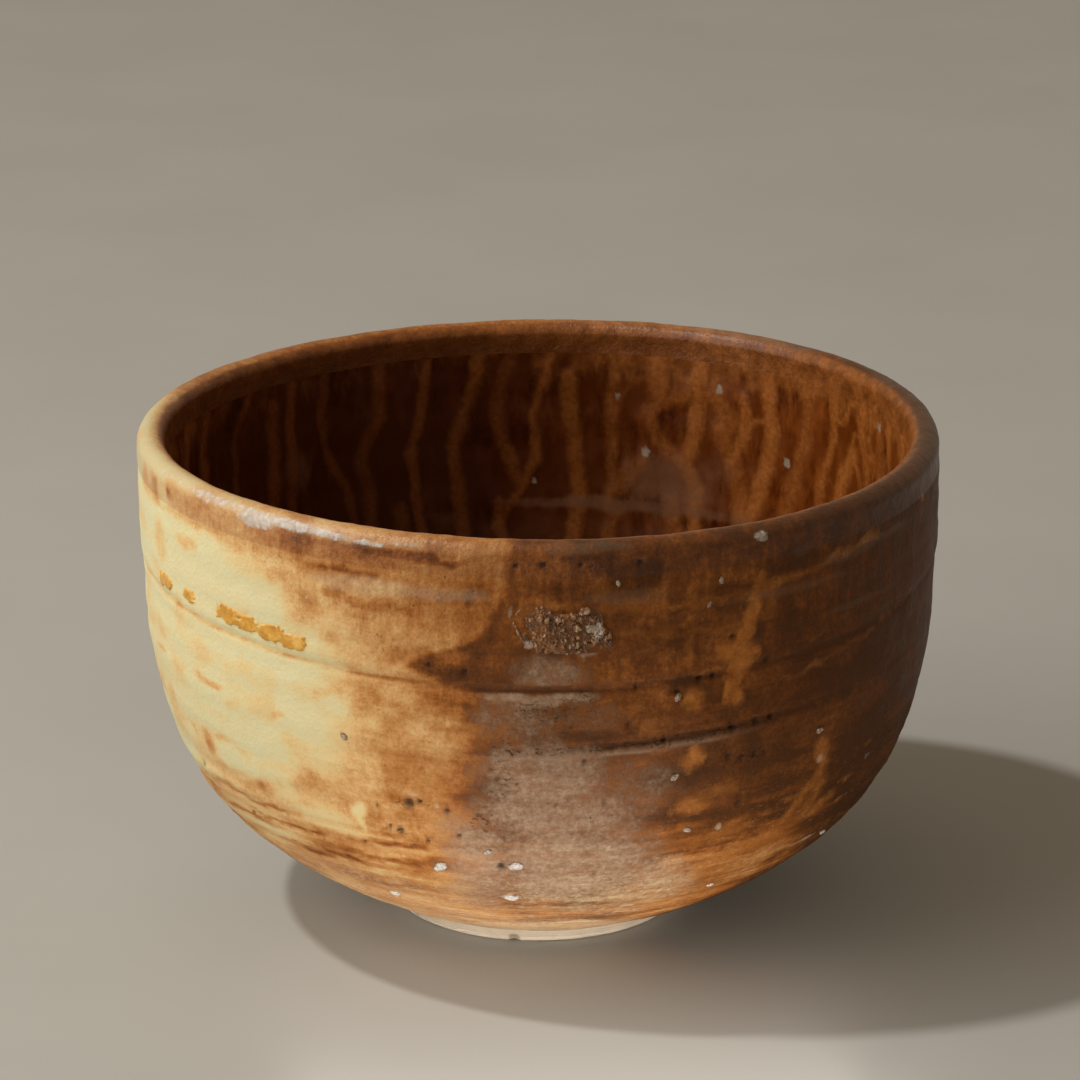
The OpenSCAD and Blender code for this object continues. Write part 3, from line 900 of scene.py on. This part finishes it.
def wall_grid(turn_span, z_span, spacing):
    """Turn, height and points of an even grid on the wall, its spacing in mm."""
    cols = int((turn_span[1] - turn_span[0]) * ARC / spacing)
    rows = int((z_span[1] - z_span[0]) / spacing)
    turn, z = np.meshgrid(np.linspace(*turn_span, cols), np.linspace(*z_span, rows))
    angle = np.radians(turn)
    return turn, z, np.stack([WALL_R * np.sin(angle), -WALL_R * np.cos(angle), z * MM], -1)


def build_crust(material):
    """The blistered patch of ash and the crack that curls round its left side."""
    low, high = (corner / MM for corner in (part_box("ash_crust")[0].z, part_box("ash_crust")[1].z))
    shape = np.array([v.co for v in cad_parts["ash_crust"].data.vertices])
    at = np.degrees(np.arctan2(shape[:, 0], -shape[:, 1]))
    deep = np.hypot(*shape[:, :2].T).max() - outer_radius(outside_tree, (low + high) / 2 * MM)
    first, last = at.min(), at.max()
    wide, tall = last - first, high - low
    turn, z, points = wall_grid((first - 0.6, last + 0.6), (low - 0.4, high + 0.4), 0.085)
    ragged = fractal(points, 3.4 * MM, 401, 4, 0.62)
    across, up = (turn - first - 0.62 * wide) / (0.45 * wide), (z - low - 0.46 * tall) / (0.56 * tall)
    reach = (abs(across) ** 3 + abs(up) ** 3) ** (1 / 3) + 0.22 * np.cos(5 * across) * step(-0.2, 0.6, up)
    inside = 1 - step(0.55, 1.05, reach + 0.80 * ragged)
    curl = ((z - low - 0.62 * tall) / (0.62 * tall)) ** 2
    crack_t = first + (0.11 + 0.20 * curl) * wide + 0.5 * ragged
    crack = bell(turn, crack_t, 0.25) * within(z, low + 0.3, low + 1.2, high - 1, high)
    crack *= step(-0.3, 0.2, fractal(points, 1.5 * MM, 431, 3))
    blister = np.abs(fractal(points, (1.1 * MM, 1.1 * MM, 1.3 * MM), 411, 4, 0.62))
    pocks = step(0.28, 0.55, fractal(points, 0.9 * MM, 421, 2))
    thickness_and_shade = 0.20 + 0.85 * smooth(2.4 * blister) - 0.55 * pocks
    height = np.maximum(0.66 * deep * np.clip(thickness_and_shade, 0.02, 1) * inside, 0.4 * deep * crack)
    height += 1.4 * SUNK * (1 - np.maximum(inside, crack))
    fields = {"thickness_and_shade": np.clip(thickness_and_shade, 0, 1) * inside, "crack": crack, "edge": inside,
              "white": patches(turn, z, FLECKS, 0.7)}
    return placed(skin("ash_crust_blisters", turn, z, height, fields), "ash_crust", material)


def lumps_mesh(name, lumps, cuts):
    """One mesh of rounded lumps: each (centre, axes as columns, roughness, seed, paleness)."""
    bm = bmesh.new()
    proud = bm.verts.layers.float.new("proud")
    pale = bm.verts.layers.float.new("pale")
    for centre, axes, rough, seed, paleness in lumps:
        made = bmesh.ops.create_icosphere(bm, subdivisions=cuts, radius=1)["verts"]
        ball = np.array([v.co for v in made])
        size = np.linalg.norm(axes, axis=0).mean()
        wave = 1 + rough * fractal(ball * size + centre, size * 0.9, seed, 4, 0.6)
        moved = centre + (ball * wave[:, None]) @ axes.T
        for vert, point, out in zip(made, moved, ball[:, 2]):
            vert.co = point
            vert[proud] = out
            vert[pale] = paleness
    mesh = bpy.data.meshes.new(name)
    bm.to_mesh(mesh)
    bm.free()
    return mesh_object(name, mesh)


def wall_frame(centre):
    """Sideways, up-the-wall and outward unit vectors at a point on the wall."""
    angle = math.atan2(centre[0], -centre[1])
    n = normals(OUTSIDE)
    n_r, n_z = (np.interp(centre[2], OUTSIDE[:, 1], n[:, k]) for k in (0, 1))
    side = np.array([math.cos(angle), math.sin(angle), 0])
    outward = np.array([n_r * math.sin(angle), -n_r * math.cos(angle), n_z])
    return side, np.cross(outward, side), outward


def seat(points):
    """Turn and height of the middle of a solid that sits on the outside wall."""
    centre = (points.min(0) + points.max(0)) / 2
    return math.degrees(math.atan2(centre[0], -centre[1])), centre[2] / MM


def build_stones(material):
    """A rough grain of feldspar in the place of each CAD stone."""
    lumps = []
    for i, points in enumerate(islands("burst_stones")):
        turn, z = seat(points)
        size = np.ptp(points, axis=0).max() / 2
        size *= min(1, size / MM)
        # Those low on the belly lie flatter and are whiter
        low = float(1 - step(22, 32, z))
        centre = on_wall(np.array(turn), np.array(z), np.array(-0.05 * size))
        side, up, outward = wall_frame(centre)
        spin = 2.4 * i * (1 - low) + 0.1 * math.sin(i)
        a = side * math.cos(spin) + up * math.sin(spin)
        b = up * math.cos(spin) - side * math.sin(spin)
        wide, tall = 1.1 + 0.15 * low, 0.75 + 0.2 * math.sin(3.1 * i) * (1 - low)
        axes = np.stack([a * size * wide, b * size * tall, outward * size * 0.5], 1)
        lumps.append((centre, axes, 0.55, 500 + i, low))
    return placed(lumps_mesh("burst_stones_feldspar", lumps, 4), "burst_stones", material)


def build_pools(material):
    """Amber glass that has pooled over the groove, its beads run together into smears."""
    beads = [(*seat(points), np.ptp(points, axis=0).max() / 2 / MM)
             for points in islands("amber_glaze_pools")]
    ends = [bead[0] for bead in beads]
    levels = [bead[1] for bead in beads]
    turn, z, points = wall_grid((min(ends) - 4, max(ends) + 4), (min(levels) - 3, max(levels) + 3), 0.12)
    ragged = fractal(points, 1.2 * MM, 601, 4, 0.7)
    cover = np.full(turn.shape, -9.0)
    for at, level, radius in beads:
        d = np.hypot(off(turn, at) * ARC / (2.15 * radius), (z - level) / (0.92 * radius))
        cover = np.maximum(cover, 1 - d)
    cover = smooth((cover + 0.50 * ragged + 0.08) / 0.35)
    height = (0.20 + 0.10 * fractal(points, 1.6 * MM, 611, 2)) * MM * cover + 1.6 * SUNK * (1 - cover)
    obj = skin("amber_pools_glass", turn, z, height, {"proud": cover * (0.5 + 0.9 * ragged)})
    return placed(obj, "amber_glaze_pools", material)


# ---------------------------------------------------------------- materials

class Graph:
    """A material's nodes, added one after another."""

    def __init__(self, name):
        self.material = bpy.data.materials.new(name)
        self.material.use_nodes = True
        self.tree = self.material.node_tree
        self.shader = self.tree.nodes["Principled BSDF"]
        self.coords = self.tree.nodes.new("ShaderNodeTexCoord").outputs["Object"]

    def put(self, value, socket):
        """Sets a socket to a number or colour, or links it to another socket."""
        if isinstance(value, bpy.types.NodeSocket):
            self.tree.links.new(value, socket)
        elif isinstance(value, tuple) and len(value) == 3 and len(socket.default_value) == 4:
            socket.default_value = (*value, 1)
        else:
            socket.default_value = value

    def field(self, name):
        """A value kept on the mesh's points."""
        node = self.tree.nodes.new("ShaderNodeAttribute")
        node.attribute_name = name
        return node.outputs["Fac"]

    def stretched(self, stretch):
        """Object coordinates, scaled along each axis."""
        node = self.tree.nodes.new("ShaderNodeMapping")
        node.inputs["Scale"].default_value = stretch
        self.put(self.coords, node.inputs["Vector"])
        return node.outputs["Vector"]

    def noise(self, size, detail, rough, stretch=(1, 1, 1)):
        """Noise round 0.5 whose cells are about size across, in metres."""
        node = self.tree.nodes.new("ShaderNodeTexNoise")
        node.inputs["Scale"].default_value = 1 / size
        node.inputs["Detail"].default_value = detail
        node.inputs["Roughness"].default_value = rough
        self.put(self.stretched(stretch), node.inputs["Vector"])
        return node.outputs["Fac"]

    def cells(self, size):
        """Distance from the nearest of some scattered points, about size apart."""
        node = self.tree.nodes.new("ShaderNodeTexVoronoi")
        node.inputs["Scale"].default_value = 1 / size
        self.put(self.stretched((1, 1, 1)), node.inputs["Vector"])
        return node.outputs["Distance"]

    def math(self, kind, a, b, clamp=False):
        node = self.tree.nodes.new("ShaderNodeMath")
        node.operation = kind
        node.use_clamp = clamp
        self.put(a, node.inputs[0])
        self.put(b, node.inputs[1])
        return node.outputs[0]

    def times(self, a, b):
        return self.math("MULTIPLY", a, b)

    def plus(self, a, b):
        return self.math("ADD", a, b)

    def minus(self, a, b):
        return self.math("SUBTRACT", a, b)

    def range(self, value, low, high, to_low=0.0, to_high=1.0):
        """The value taken from one range to another, smoothly, and held at its ends."""
        node = self.tree.nodes.new("ShaderNodeMapRange")
        node.interpolation_type = "SMOOTHSTEP"
        for slot, one in zip(("Value", "From Min", "From Max", "To Min", "To Max"),
                             (value, low, high, to_low, to_high)):
            self.put(one, node.inputs[slot])
        return node.outputs["Result"]

    def mix(self, fac, a, b, kind="MIX"):
        """Colour a turning into b as fac goes from 0 to 1."""
        node = self.tree.nodes.new("ShaderNodeMix")
        node.data_type = "RGBA"
        node.blend_type = kind
        self.put(fac, node.inputs[0])
        self.put(a, node.inputs[6])
        self.put(b, node.inputs[7])
        return node.outputs[2]

    def laid(self, colour, cover, share, over):
        """Another colour laid over one where cover is 1, as strongly as share."""
        return self.mix(self.times(cover, share), colour, over)

    def ramp(self, fac, stops):
        """A colour looked up in stops, each (position, colour)."""
        node = self.tree.nodes.new("ShaderNodeValToRGB")
        elements = node.color_ramp.elements
        while len(elements) < len(stops):
            elements.new(1)
        for element, (at, colour) in zip(elements, stops):
            element.position = at
            element.color = (*colour, 1)
        self.put(fac, node.inputs["Fac"])
        return node.outputs["Color"]

    def broken(self, name, grain, amount, edge=0.28):
        """A field whose edges are broken up by noise."""
        field = self.field(name)
        pull = self.times(self.minus(grain, 0.5), amount)
        gate = self.math("MULTIPLY", field, 4, clamp=True)
        cover = self.range(self.plus(field, pull), 0.5 - edge, 0.5 + edge)
        return self.times(cover, gate)

    def bump(self, height, depth, under=None):
        """Shading for a height whose whole range is depth, in metres, on top of another bump."""
        node = self.tree.nodes.new("ShaderNodeBump")
        node.inputs["Strength"].default_value = 1
        node.inputs["Distance"].default_value = depth
        self.put(height, node.inputs["Height"])
        if under is not None:
            self.put(under, node.inputs["Normal"])
        return node.outputs["Normal"]

    def finish(self, colour, rough, normal=None, mirror=0.5):
        """Wires the shader up. mirror is its specular level."""
        self.shader.inputs["Specular IOR Level"].default_value = mirror
        self.put(colour, self.shader.inputs["Base Color"])
        self.put(rough, self.shader.inputs["Roughness"])
        if normal is not None:
            self.put(normal, self.shader.inputs["Normal"])
        return self.material


# The darker and the paler parts of the foot's bare clay, painted darker than the body's clay: a painted
# shade
FOOT_SHADED_DARK, FOOT_SHADED_PALE = (0.370, 0.310, 0.243), (0.465, 0.400, 0.322)
# The ash glaze from thin iron (cream) to thick iron (dark brown)
IRON_COLOURS = (
    (0.00, (0.53, 0.55, 0.42)), (0.12, (0.560, 0.528, 0.328)), (0.25, (0.590, 0.463, 0.234)),
    (0.38, (0.58, 0.365, 0.160)), (0.50, (0.48, 0.250, 0.092)), (0.60, (0.385, 0.165, 0.048)),
    (0.70, (0.285, 0.098, 0.021)), (0.80, (0.165, 0.052, 0.010)), (0.90, (0.105, 0.033, 0.007)),
    (1.00, (0.070, 0.024, 0.006)),
)


def tan_speckle(g, fine):
    """The mottled tan of the tenmoku where it thins towards the lip."""
    blotch = g.noise(2.8 * MM, 4, 0.6)
    grain = g.plus(g.times(fine, 0.35), g.times(blotch, 0.65))
    return g.ramp(grain, (
        (0.36, (0.105, 0.029, 0.0045)), (0.50, (0.175, 0.055, 0.0105)), (0.64, (0.26, 0.090, 0.021))))


def ash_glaze(name, gloss):
    """The outside glaze: a colour for its iron, then each mark laid over it in turn.

    gloss is 0 for the wall and 1 for the lip.
    """
    g = Graph(name)
    mottle = g.noise(3.2 * MM, 6, 0.66)
    fine = g.noise(0.9 * MM, 5, 0.7)
    speck = g.noise(0.42 * MM, 3, 0.6)
    sweep = g.noise(3.0 * MM, 6, 0.68, (0.30, 0.30, 2.2))
    fall = g.noise(2.2 * MM, 5, 0.62, (1.7, 1.7, 0.28))
    scratch = g.noise(1.6 * MM, 5, 0.66, (0.20, 0.20, 3.0))
    cloud = g.noise(12 * MM, 3, 0.5)
    raw = g.field("raw")
    upper = g.field("upper")

    iron = g.field("iron")
    ripe = g.range(iron, 0.18, 0.45, 0.22, 1.0)
    brushed = g.plus(g.times(fall, upper), g.times(sweep, g.minus(1, upper)))
    for grain, amount in ((mottle, 0.38), (fine, 0.32), (brushed, 0.25), (cloud, 0.14)):
        shift = g.times(g.minus(grain, 0.5), amount)
        iron = g.plus(iron, g.times(shift, ripe))
    scrape = g.times(g.minus(scratch, 0.5), g.times(raw, 0.44))
    iron = g.plus(iron, g.times(scrape, g.range(ripe, 0.2, 1.0, 0.5, 1.0)))
    colour = g.ramp(iron, IRON_COLOURS)

    grain = g.plus(g.times(sweep, 0.45), g.times(fine, 0.55))
    pale = g.ramp(grain, ((0.38, (0.48, 0.30, 0.16)), (0.60, (0.68, 0.50, 0.31))))
    colour = g.laid(colour, g.broken("pale", grain, 1.6, 0.42), 0.85, pale)
    # Painted sheen: a grey-brown haze laid over the front of the belly
    sheen_haze_colour = g.ramp(grain, (
        (0.36, (0.185, 0.105, 0.062)), (0.49, (0.305, 0.193, 0.124)), (0.64, (0.41, 0.290, 0.205))))
    sheen_haze = g.times(g.broken("sheen_haze", g.plus(g.times(mottle, 0.6), g.times(fine, 0.4)), 1.3, 0.42), 0.88)
    colour = g.mix(sheen_haze, colour, sheen_haze_colour)
    orange = g.ramp(mottle, ((0.3, (0.22, 0.066, 0.010)), (0.7, (0.46, 0.175, 0.036))))
    patchy = g.plus(g.times(fine, 0.5), g.times(mottle, 0.5))
    colour = g.laid(colour, g.broken("orange", patchy, 1.2, 0.40), 0.88, orange)
    # Painted sheen: the colour lifted towards a pale bluish grey
    painted_sheen = g.mix(0.45, g.mix(1.0, colour, (1.35, 1.5, 1.6), "MULTIPLY"), (0.30, 0.25, 0.185))
    colour = g.laid(colour, g.broken("grey_sheen", patchy, 1.0, 0.45), 0.75, painted_sheen)
    # The painted highlight under the ridge
    colour = g.laid(colour, g.field("ridge_highlight"), 0.62, (0.38, 0.28, 0.205))

    value = g.minus(g.range(speck, 0.25, 0.75, 0.80, 1.18), 1)
    value = g.plus(1, g.times(value, ripe))
    colour = g.mix(1.0, colour, g.ramp(value, ((0, (0, 0, 0)), (1, (1, 1, 1)))), "MULTIPLY")
    dots = g.range(g.noise(0.75 * MM, 4, 0.65, (0.8, 0.8, 1.5)), 0.555, 0.65)
    pull = g.times(g.minus(mottle, 0.5), 1.1)
    dense = g.range(g.plus(g.field("soot"), pull), 0.30, 0.75)
    grit = g.times(dots, dense)
    stray = g.times(g.minus(1, g.range(g.cells(2.3 * MM), 0.05, 0.12)), g.range(mottle, 0.50, 0.60))
    grit = g.math("MAXIMUM", grit, g.times(stray, g.range(iron, 0.35, 0.6, 0.0, 0.7)))
    colour = g.laid(colour, grit, 0.75, (0.040, 0.020, 0.011))
    glints = g.range(g.noise(0.65 * MM, 4, 0.7, (0.6, 0.6, 1.7)), 0.57, 0.68)
    glints = g.times(g.times(glints, raw), g.range(mottle, 0.44, 0.58, 0.1, 0.75))
    lit = g.mix(0.55, g.mix(1.0, colour, (1.5, 1.5, 1.5), "MULTIPLY"), (0.58, 0.40, 0.22))
    colour = g.mix(glints, colour, lit)
    colour = g.laid(colour, g.field("pit"), 0.9, (0.022, 0.011, 0.007))
    colour = g.laid(colour, g.broken("fleck", fine, 0.8, 0.25), 0.8, (0.44, 0.37, 0.29))
    clay = g.ramp(mottle, ((0.3, FOOT_SHADED_DARK), (0.7, FOOT_SHADED_PALE)))
    colour = g.laid(colour, g.field("bare"), 0.9, clay)
    if gloss:
        # The lip painted darker all over: a painted shade that offsets the brighter light on its top
        colour = g.mix(1.0, colour, (0.84, 0.80, 0.78), "MULTIPLY")
        colour = g.mix(g.broken("inward", patchy, 0.8, 0.35), colour, tan_speckle(g, fine))
        # Painted shade on the lip's inner edge, on the left
        colour = g.laid(colour, g.field("thickness_and_shade"), 0.75, (0.045, 0.010, 0.0010))
    icy = g.ramp(fine, ((0.38, (0.34, 0.30, 0.26)), (0.62, (0.51, 0.50, 0.485))))
    colour = g.laid(colour, g.broken("frost", fine, 1.5, 0.30), 0.8, icy)

    rough = g.range(mottle, 0.3, 0.7, 0.56 - 0.18 * gloss, 0.42 - 0.12 * gloss)
    rough = g.plus(rough, g.times(raw, 0.22))
    rough = g.math("ADD", rough, g.times(grit, 0.2), clamp=True)
    normal = g.bump(g.noise(0.55 * MM, 4, 0.6), 0.10 * MM)
    normal = g.bump(g.times(scratch, raw), 0.40 * MM, normal)
    normal = g.bump(g.minus(1, grit), 0.10 * MM, normal)
    normal = g.bump(g.noise(2.6 * MM, 4, 0.6), 0.20 * MM, normal)
    return g.finish(colour, rough, normal, 0.11 + 0.14 * gloss)


def inner_glaze():
    """The dark glossy tenmoku, paler where it is thin and where it has run."""
    g = Graph("inner_glaze_tenmoku")
    mottle = g.noise(3.0 * MM, 5, 0.6, (1, 1, 0.5))
    fine = g.noise(0.9 * MM, 4, 0.6)
    cloud = g.noise(11 * MM, 3, 0.5)
    base = g.ramp(mottle, ((0.30, (0.031, 0.0055, 0.0006)), (0.47, (0.090, 0.0190, 0.0016)),
                           (0.70, (0.185, 0.046, 0.0046))))
    base = g.mix(g.range(cloud, 0.42, 0.62), base, (0.105, 0.024, 0.0024))
    # Painted shade on the left of the inside
    base = g.mix(g.times(g.field("thickness_and_shade"), 0.72), base, (0.020, 0.0030, 0.0003))
    thin = g.times(g.broken("mottle", mottle, 1.2, 0.4), 0.9)
    colour = g.mix(thin, base, tan_speckle(g, fine))
    run_colour = g.ramp(fine, ((0.30, (0.21, 0.062, 0.0095)), (0.70, (0.33, 0.115, 0.027))))
    # Runs painted fainter under the painted shade
    faint = g.minus(0.86, g.times(g.field("thickness_and_shade"), 0.52))
    colour = g.mix(g.times(g.broken("run", fine, 0.4, 0.5), faint), colour, run_colour)
    # Painted sheen: a warm pale haze laid over the inside glaze
    sheen_haze = g.times(g.broken("sheen_haze", mottle, 0.9, 0.4), 0.6)
    colour = g.mix(sheen_haze, colour, (0.150, 0.070, 0.036))
    pool = g.ramp(mottle, ((0.3, (0.030, 0.010, 0.003)), (0.7, (0.110, 0.042, 0.010))))
    colour = g.laid(colour, g.broken("pool", cloud, 0.8), 0.75, pool)
    colour = g.mix(g.broken("fleck", fine, 0.8, 0.3), colour, (0.23, 0.175, 0.135))
    rough = g.range(mottle, 0.3, 0.7, 0.26, 0.40)
    normal = g.bump(g.noise(1.1 * MM, 3, 0.5), 0.03 * MM)
    normal = g.bump(g.noise(4.5 * MM, 3, 0.5), 0.12 * MM, normal)
    return g.finish(colour, rough, normal, 0.22)


def bare_clay(name, dark, light):
    """Unglazed buff clay with grog, a burnt edge and smudges of ash."""
    g = Graph(name)
    grog = g.cells(1.1 * MM)
    cloud = g.noise(5 * MM, 5, 0.6)
    fine = g.noise(0.5 * MM, 4, 0.65)
    scratch = g.noise(1.2 * MM, 4, 0.6, (0.25, 0.25, 4.0))
    colour = g.ramp(cloud, ((0.30, dark), (0.70, light)))
    colour = g.mix(g.range(fine, 0.35, 0.68, 0.0, 0.35), colour, light)
    colour = g.laid(colour, g.minus(1, g.range(grog, 0.10, 0.22)), 0.45, (0.33, 0.22, 0.13))
    if name == "foot_clay_bare":
        burnt = g.broken("burn", cloud, 0.7, 0.3)
        colour = g.laid(colour, burnt, 0.12, (0.50, 0.30, 0.15))
        colour = g.laid(colour, g.broken("ash", fine, 0.9), 0.6, (0.12, 0.085, 0.06))
    else:
        colour = g.mix(g.range(g.field("out"), 0.5, 1.0, 0.0, 0.25), colour, (0.40, 0.24, 0.13))
    rough = g.range(fine, 0.3, 0.7, 0.78, 0.95)
    normal = g.bump(fine, 0.09 * MM)
    normal = g.bump(scratch, 0.14 * MM, normal)
    return g.finish(colour, rough, normal, 0.2)


def amber_glass():
    """Amber glass, darker where it is deep, with pale seeds in it."""
    g = Graph("amber_glass")
    cloud = g.noise(1.3 * MM, 4, 0.65)
    depth = g.plus(g.field("proud"), g.times(g.minus(cloud, 0.5), 2.0))
    colour = g.ramp(depth, (
        (0.0, (0.58, 0.360, 0.090)), (0.40, (0.51, 0.262, 0.032)), (1.0, (0.38, 0.165, 0.012))))
    seeds = g.minus(1, g.range(g.cells(0.55 * MM), 0.12, 0.2))
    colour = g.laid(colour, seeds, 0.4, (0.60, 0.42, 0.15))
    rough = g.range(cloud, 0.3, 0.7, 0.24, 0.42)
    normal = g.bump(g.noise(0.8 * MM, 3, 0.5), 0.05 * MM)
    g.shader.inputs["Coat Weight"].default_value = 0.2
    g.shader.inputs["Coat Roughness"].default_value = 0.15
    return g.finish(colour, rough, normal, 0.35)


def crust_ash():
    """Blistered ash, dark in its pits and pale on its tops: partly its own tone, partly painted shade and
    highlight.
    """
    g = Graph("ash_crust_glassy")
    fine = g.noise(0.6 * MM, 5, 0.65)
    lumpy = g.noise(1.4 * MM, 4, 0.6)
    # Pits painted dark and tops pale: partly the ash's own tone, partly painted shade and highlight
    colour = g.ramp(g.plus(g.field("thickness_and_shade"), g.minus(lumpy, 0.5)), (
        (0.05, (0.085, 0.035, 0.012)), (0.36, (0.150, 0.062, 0.021)), (0.72, (0.205, 0.100, 0.042)),
        (1.00, (0.34, 0.235, 0.155))))
    colour = g.mix(g.range(g.noise(3 * MM, 3, 0.5), 0.50, 0.66, 0.0, 0.6), colour, (0.27, 0.105, 0.028))
    bare = g.minus(1, g.range(g.field("edge"), 0.15, 0.7))
    colour = g.mix(bare, colour, (0.155, 0.060, 0.022))
    colour = g.mix(g.range(fine, 0.56, 0.68, 0.0, 0.7), colour, (0.040, 0.018, 0.009))
    crack = g.broken("crack", fine, 0.8, 0.3)
    colour = g.laid(colour, crack, 0.75, (0.29, 0.20, 0.13))
    colour = g.laid(colour, g.broken("white", fine, 1.4, 0.3), 0.8, (0.50, 0.46, 0.42))
    rough = g.range(fine, 0.35, 0.65, 0.26, 0.50)
    normal = g.bump(fine, 0.12 * MM)
    return g.finish(colour, rough, normal, 0.4)


def feldspar():
    """White feldspar, stained brown where it is buried in the glaze; the stain is spread wide, partly a
    painted shade.
    """
    g = Graph("feldspar_grain")
    fine = g.noise(0.35 * MM, 4, 0.6)
    dull = g.ramp(fine, (
        (0.32, (0.13, 0.085, 0.055)), (0.52, (0.30, 0.225, 0.16)), (0.70, (0.50, 0.43, 0.35))))
    bright = g.ramp(fine, (
        (0.30, (0.36, 0.32, 0.29)), (0.50, (0.50, 0.49, 0.48)), (0.70, (0.62, 0.63, 0.64))))
    colour = g.mix(g.field("pale"), dull, bright)
    # The stain reaches far up each grain: partly a real stain, partly painted shade
    pull = g.times(g.minus(fine, 0.5), 0.9)
    stained_and_shaded = g.range(g.plus(g.field("proud"), pull), 0.10, 0.80)
    colour = g.mix(stained_and_shaded, g.mix(g.field("pale"), (0.13, 0.06, 0.028), (0.32, 0.20, 0.12)), colour)
    rough = g.range(fine, 0.3, 0.7, 0.38, 0.62)
    return g.finish(colour, rough, g.bump(g.noise(0.3 * MM, 4, 0.65), 0.12 * MM))


build_outside(ash_glaze("ash_glaze_outside", 0))
build_lip(ash_glaze("ash_glaze_lip", 1))
build_inside(inner_glaze())
build_foot(bare_clay("foot_clay_bare", FOOT_SHADED_DARK, FOOT_SHADED_PALE))
build_clay(bare_clay("body_clay_bare", (0.52, 0.41, 0.29), (0.72, 0.60, 0.44)))
build_crust(crust_ash())
build_stones(feldspar())
build_pools(amber_glass())

# ---------------------------------------------------------------- floor, lights and camera

CAMERA_RANGE = 713.6 * MM
CAMERA_RISE = math.radians(17.83)
LENS = 155.7
AIM = Vector((-0.1 * MM, 0, 0.75 * LIP_TOP))
CARD_HEIGHT = 5 * MM


def aimed(obj, at):
    """Turns a camera or a light to face a point."""
    obj.rotation_euler = (Vector(at) - obj.location).to_track_quat("-Z", "Y").to_euler()


def add_camera():
    data = bpy.data.cameras.new("camera")
    data.sensor_width = 36
    data.lens = LENS
    data.clip_start = 0.01
    data.clip_end = 20
    camera = bpy.data.objects.new("camera", data)
    bpy.context.scene.collection.objects.link(camera)
    camera.location = AIM + CAMERA_RANGE * Vector((0, -math.cos(CAMERA_RISE), math.sin(CAMERA_RISE)))
    aimed(camera, AIM)
    bpy.context.scene.camera = camera


def add_light(name, shape, size, watts, colour):
    data = bpy.data.lights.new(name, "AREA")
    data.shape = shape
    data.size = size[0]
    data.size_y = size[-1]
    data.energy = watts
    data.color = colour
    light = bpy.data.objects.new(name, data)
    bpy.context.scene.collection.objects.link(light)
    light.visible_camera = False
    return light


def add_softbox(name, turn, rise, distance, size, watts):
    """A round soft light at a turn from the front and a rise above the floor, in degrees."""
    light = add_light(name, "DISK", (size,), watts, (1.0, 0.96, 0.88))
    t, e = math.radians(turn), math.radians(rise)
    light.location = (distance * math.cos(e) * math.sin(t), -distance * math.cos(e) * math.cos(t),
                      LIP_TOP / 2 + distance * math.sin(e))
    aimed(light, (0, 0, LIP_TOP / 2))


def add_card(name, middle, at, width, watts, spread, colour):
    """A low strip in front that throws light up under the belly, as the bright floor does."""
    light = add_light(name, "RECTANGLE", (width, CARD_HEIGHT), watts, colour)
    light.data.spread = math.radians(spread)
    light.location = middle
    aimed(light, at)


def add_floor():
    mesh = bpy.data.meshes.new("floor")
    side = 3.0
    corners = [(-side, -side, 0), (side, -side, 0), (side, side, 0), (-side, side, 0)]
    mesh.from_pydata(corners, [], [(0, 1, 2, 3)])
    floor = bpy.data.objects.new("floor", mesh)
    bpy.context.scene.collection.objects.link(floor)
    g = Graph("floor_paper")
    shades = ((0.3, (0.322, 0.322, 0.314)), (0.7, (0.342, 0.341, 0.333)))
    colour = g.ramp(g.noise(60 * MM, 3, 0.5), shades)
    floor.data.materials.append(g.finish(colour, 0.95))


def add_world():
    world = bpy.data.worlds.new("world")
    world.use_nodes = True
    background = world.node_tree.nodes["Background"]
    background.inputs["Color"].default_value = (1.0, 0.81, 0.58, 1)
    background.inputs["Strength"].default_value = 0.39
    bpy.context.scene.world = world


add_world()
add_floor()
add_camera()
# Window light from the left, high and small, then a wide soft one lower down
add_softbox("key_high", -82, 59.5, 2.4, 0.15, 31)
add_softbox("key_low", -66, 24, 0.58, 0.60, 2.6)
# Light thrown up by the floor in front
add_card("card_belly", Vector((8, -93, 4.6)) * MM, Vector((4, -47, 20)) * MM, 90 * MM, 0.0152, 110,
         (1.0, 0.94, 0.85))
add_card("card_foot", Vector((6, -88, 3.6)) * MM, Vector((0, 0, 3)) * MM, 80 * MM, 0.0057, 40,
         (1.0, 0.92, 0.82))
bpy.context.scene.view_settings.view_transform = "Standard"
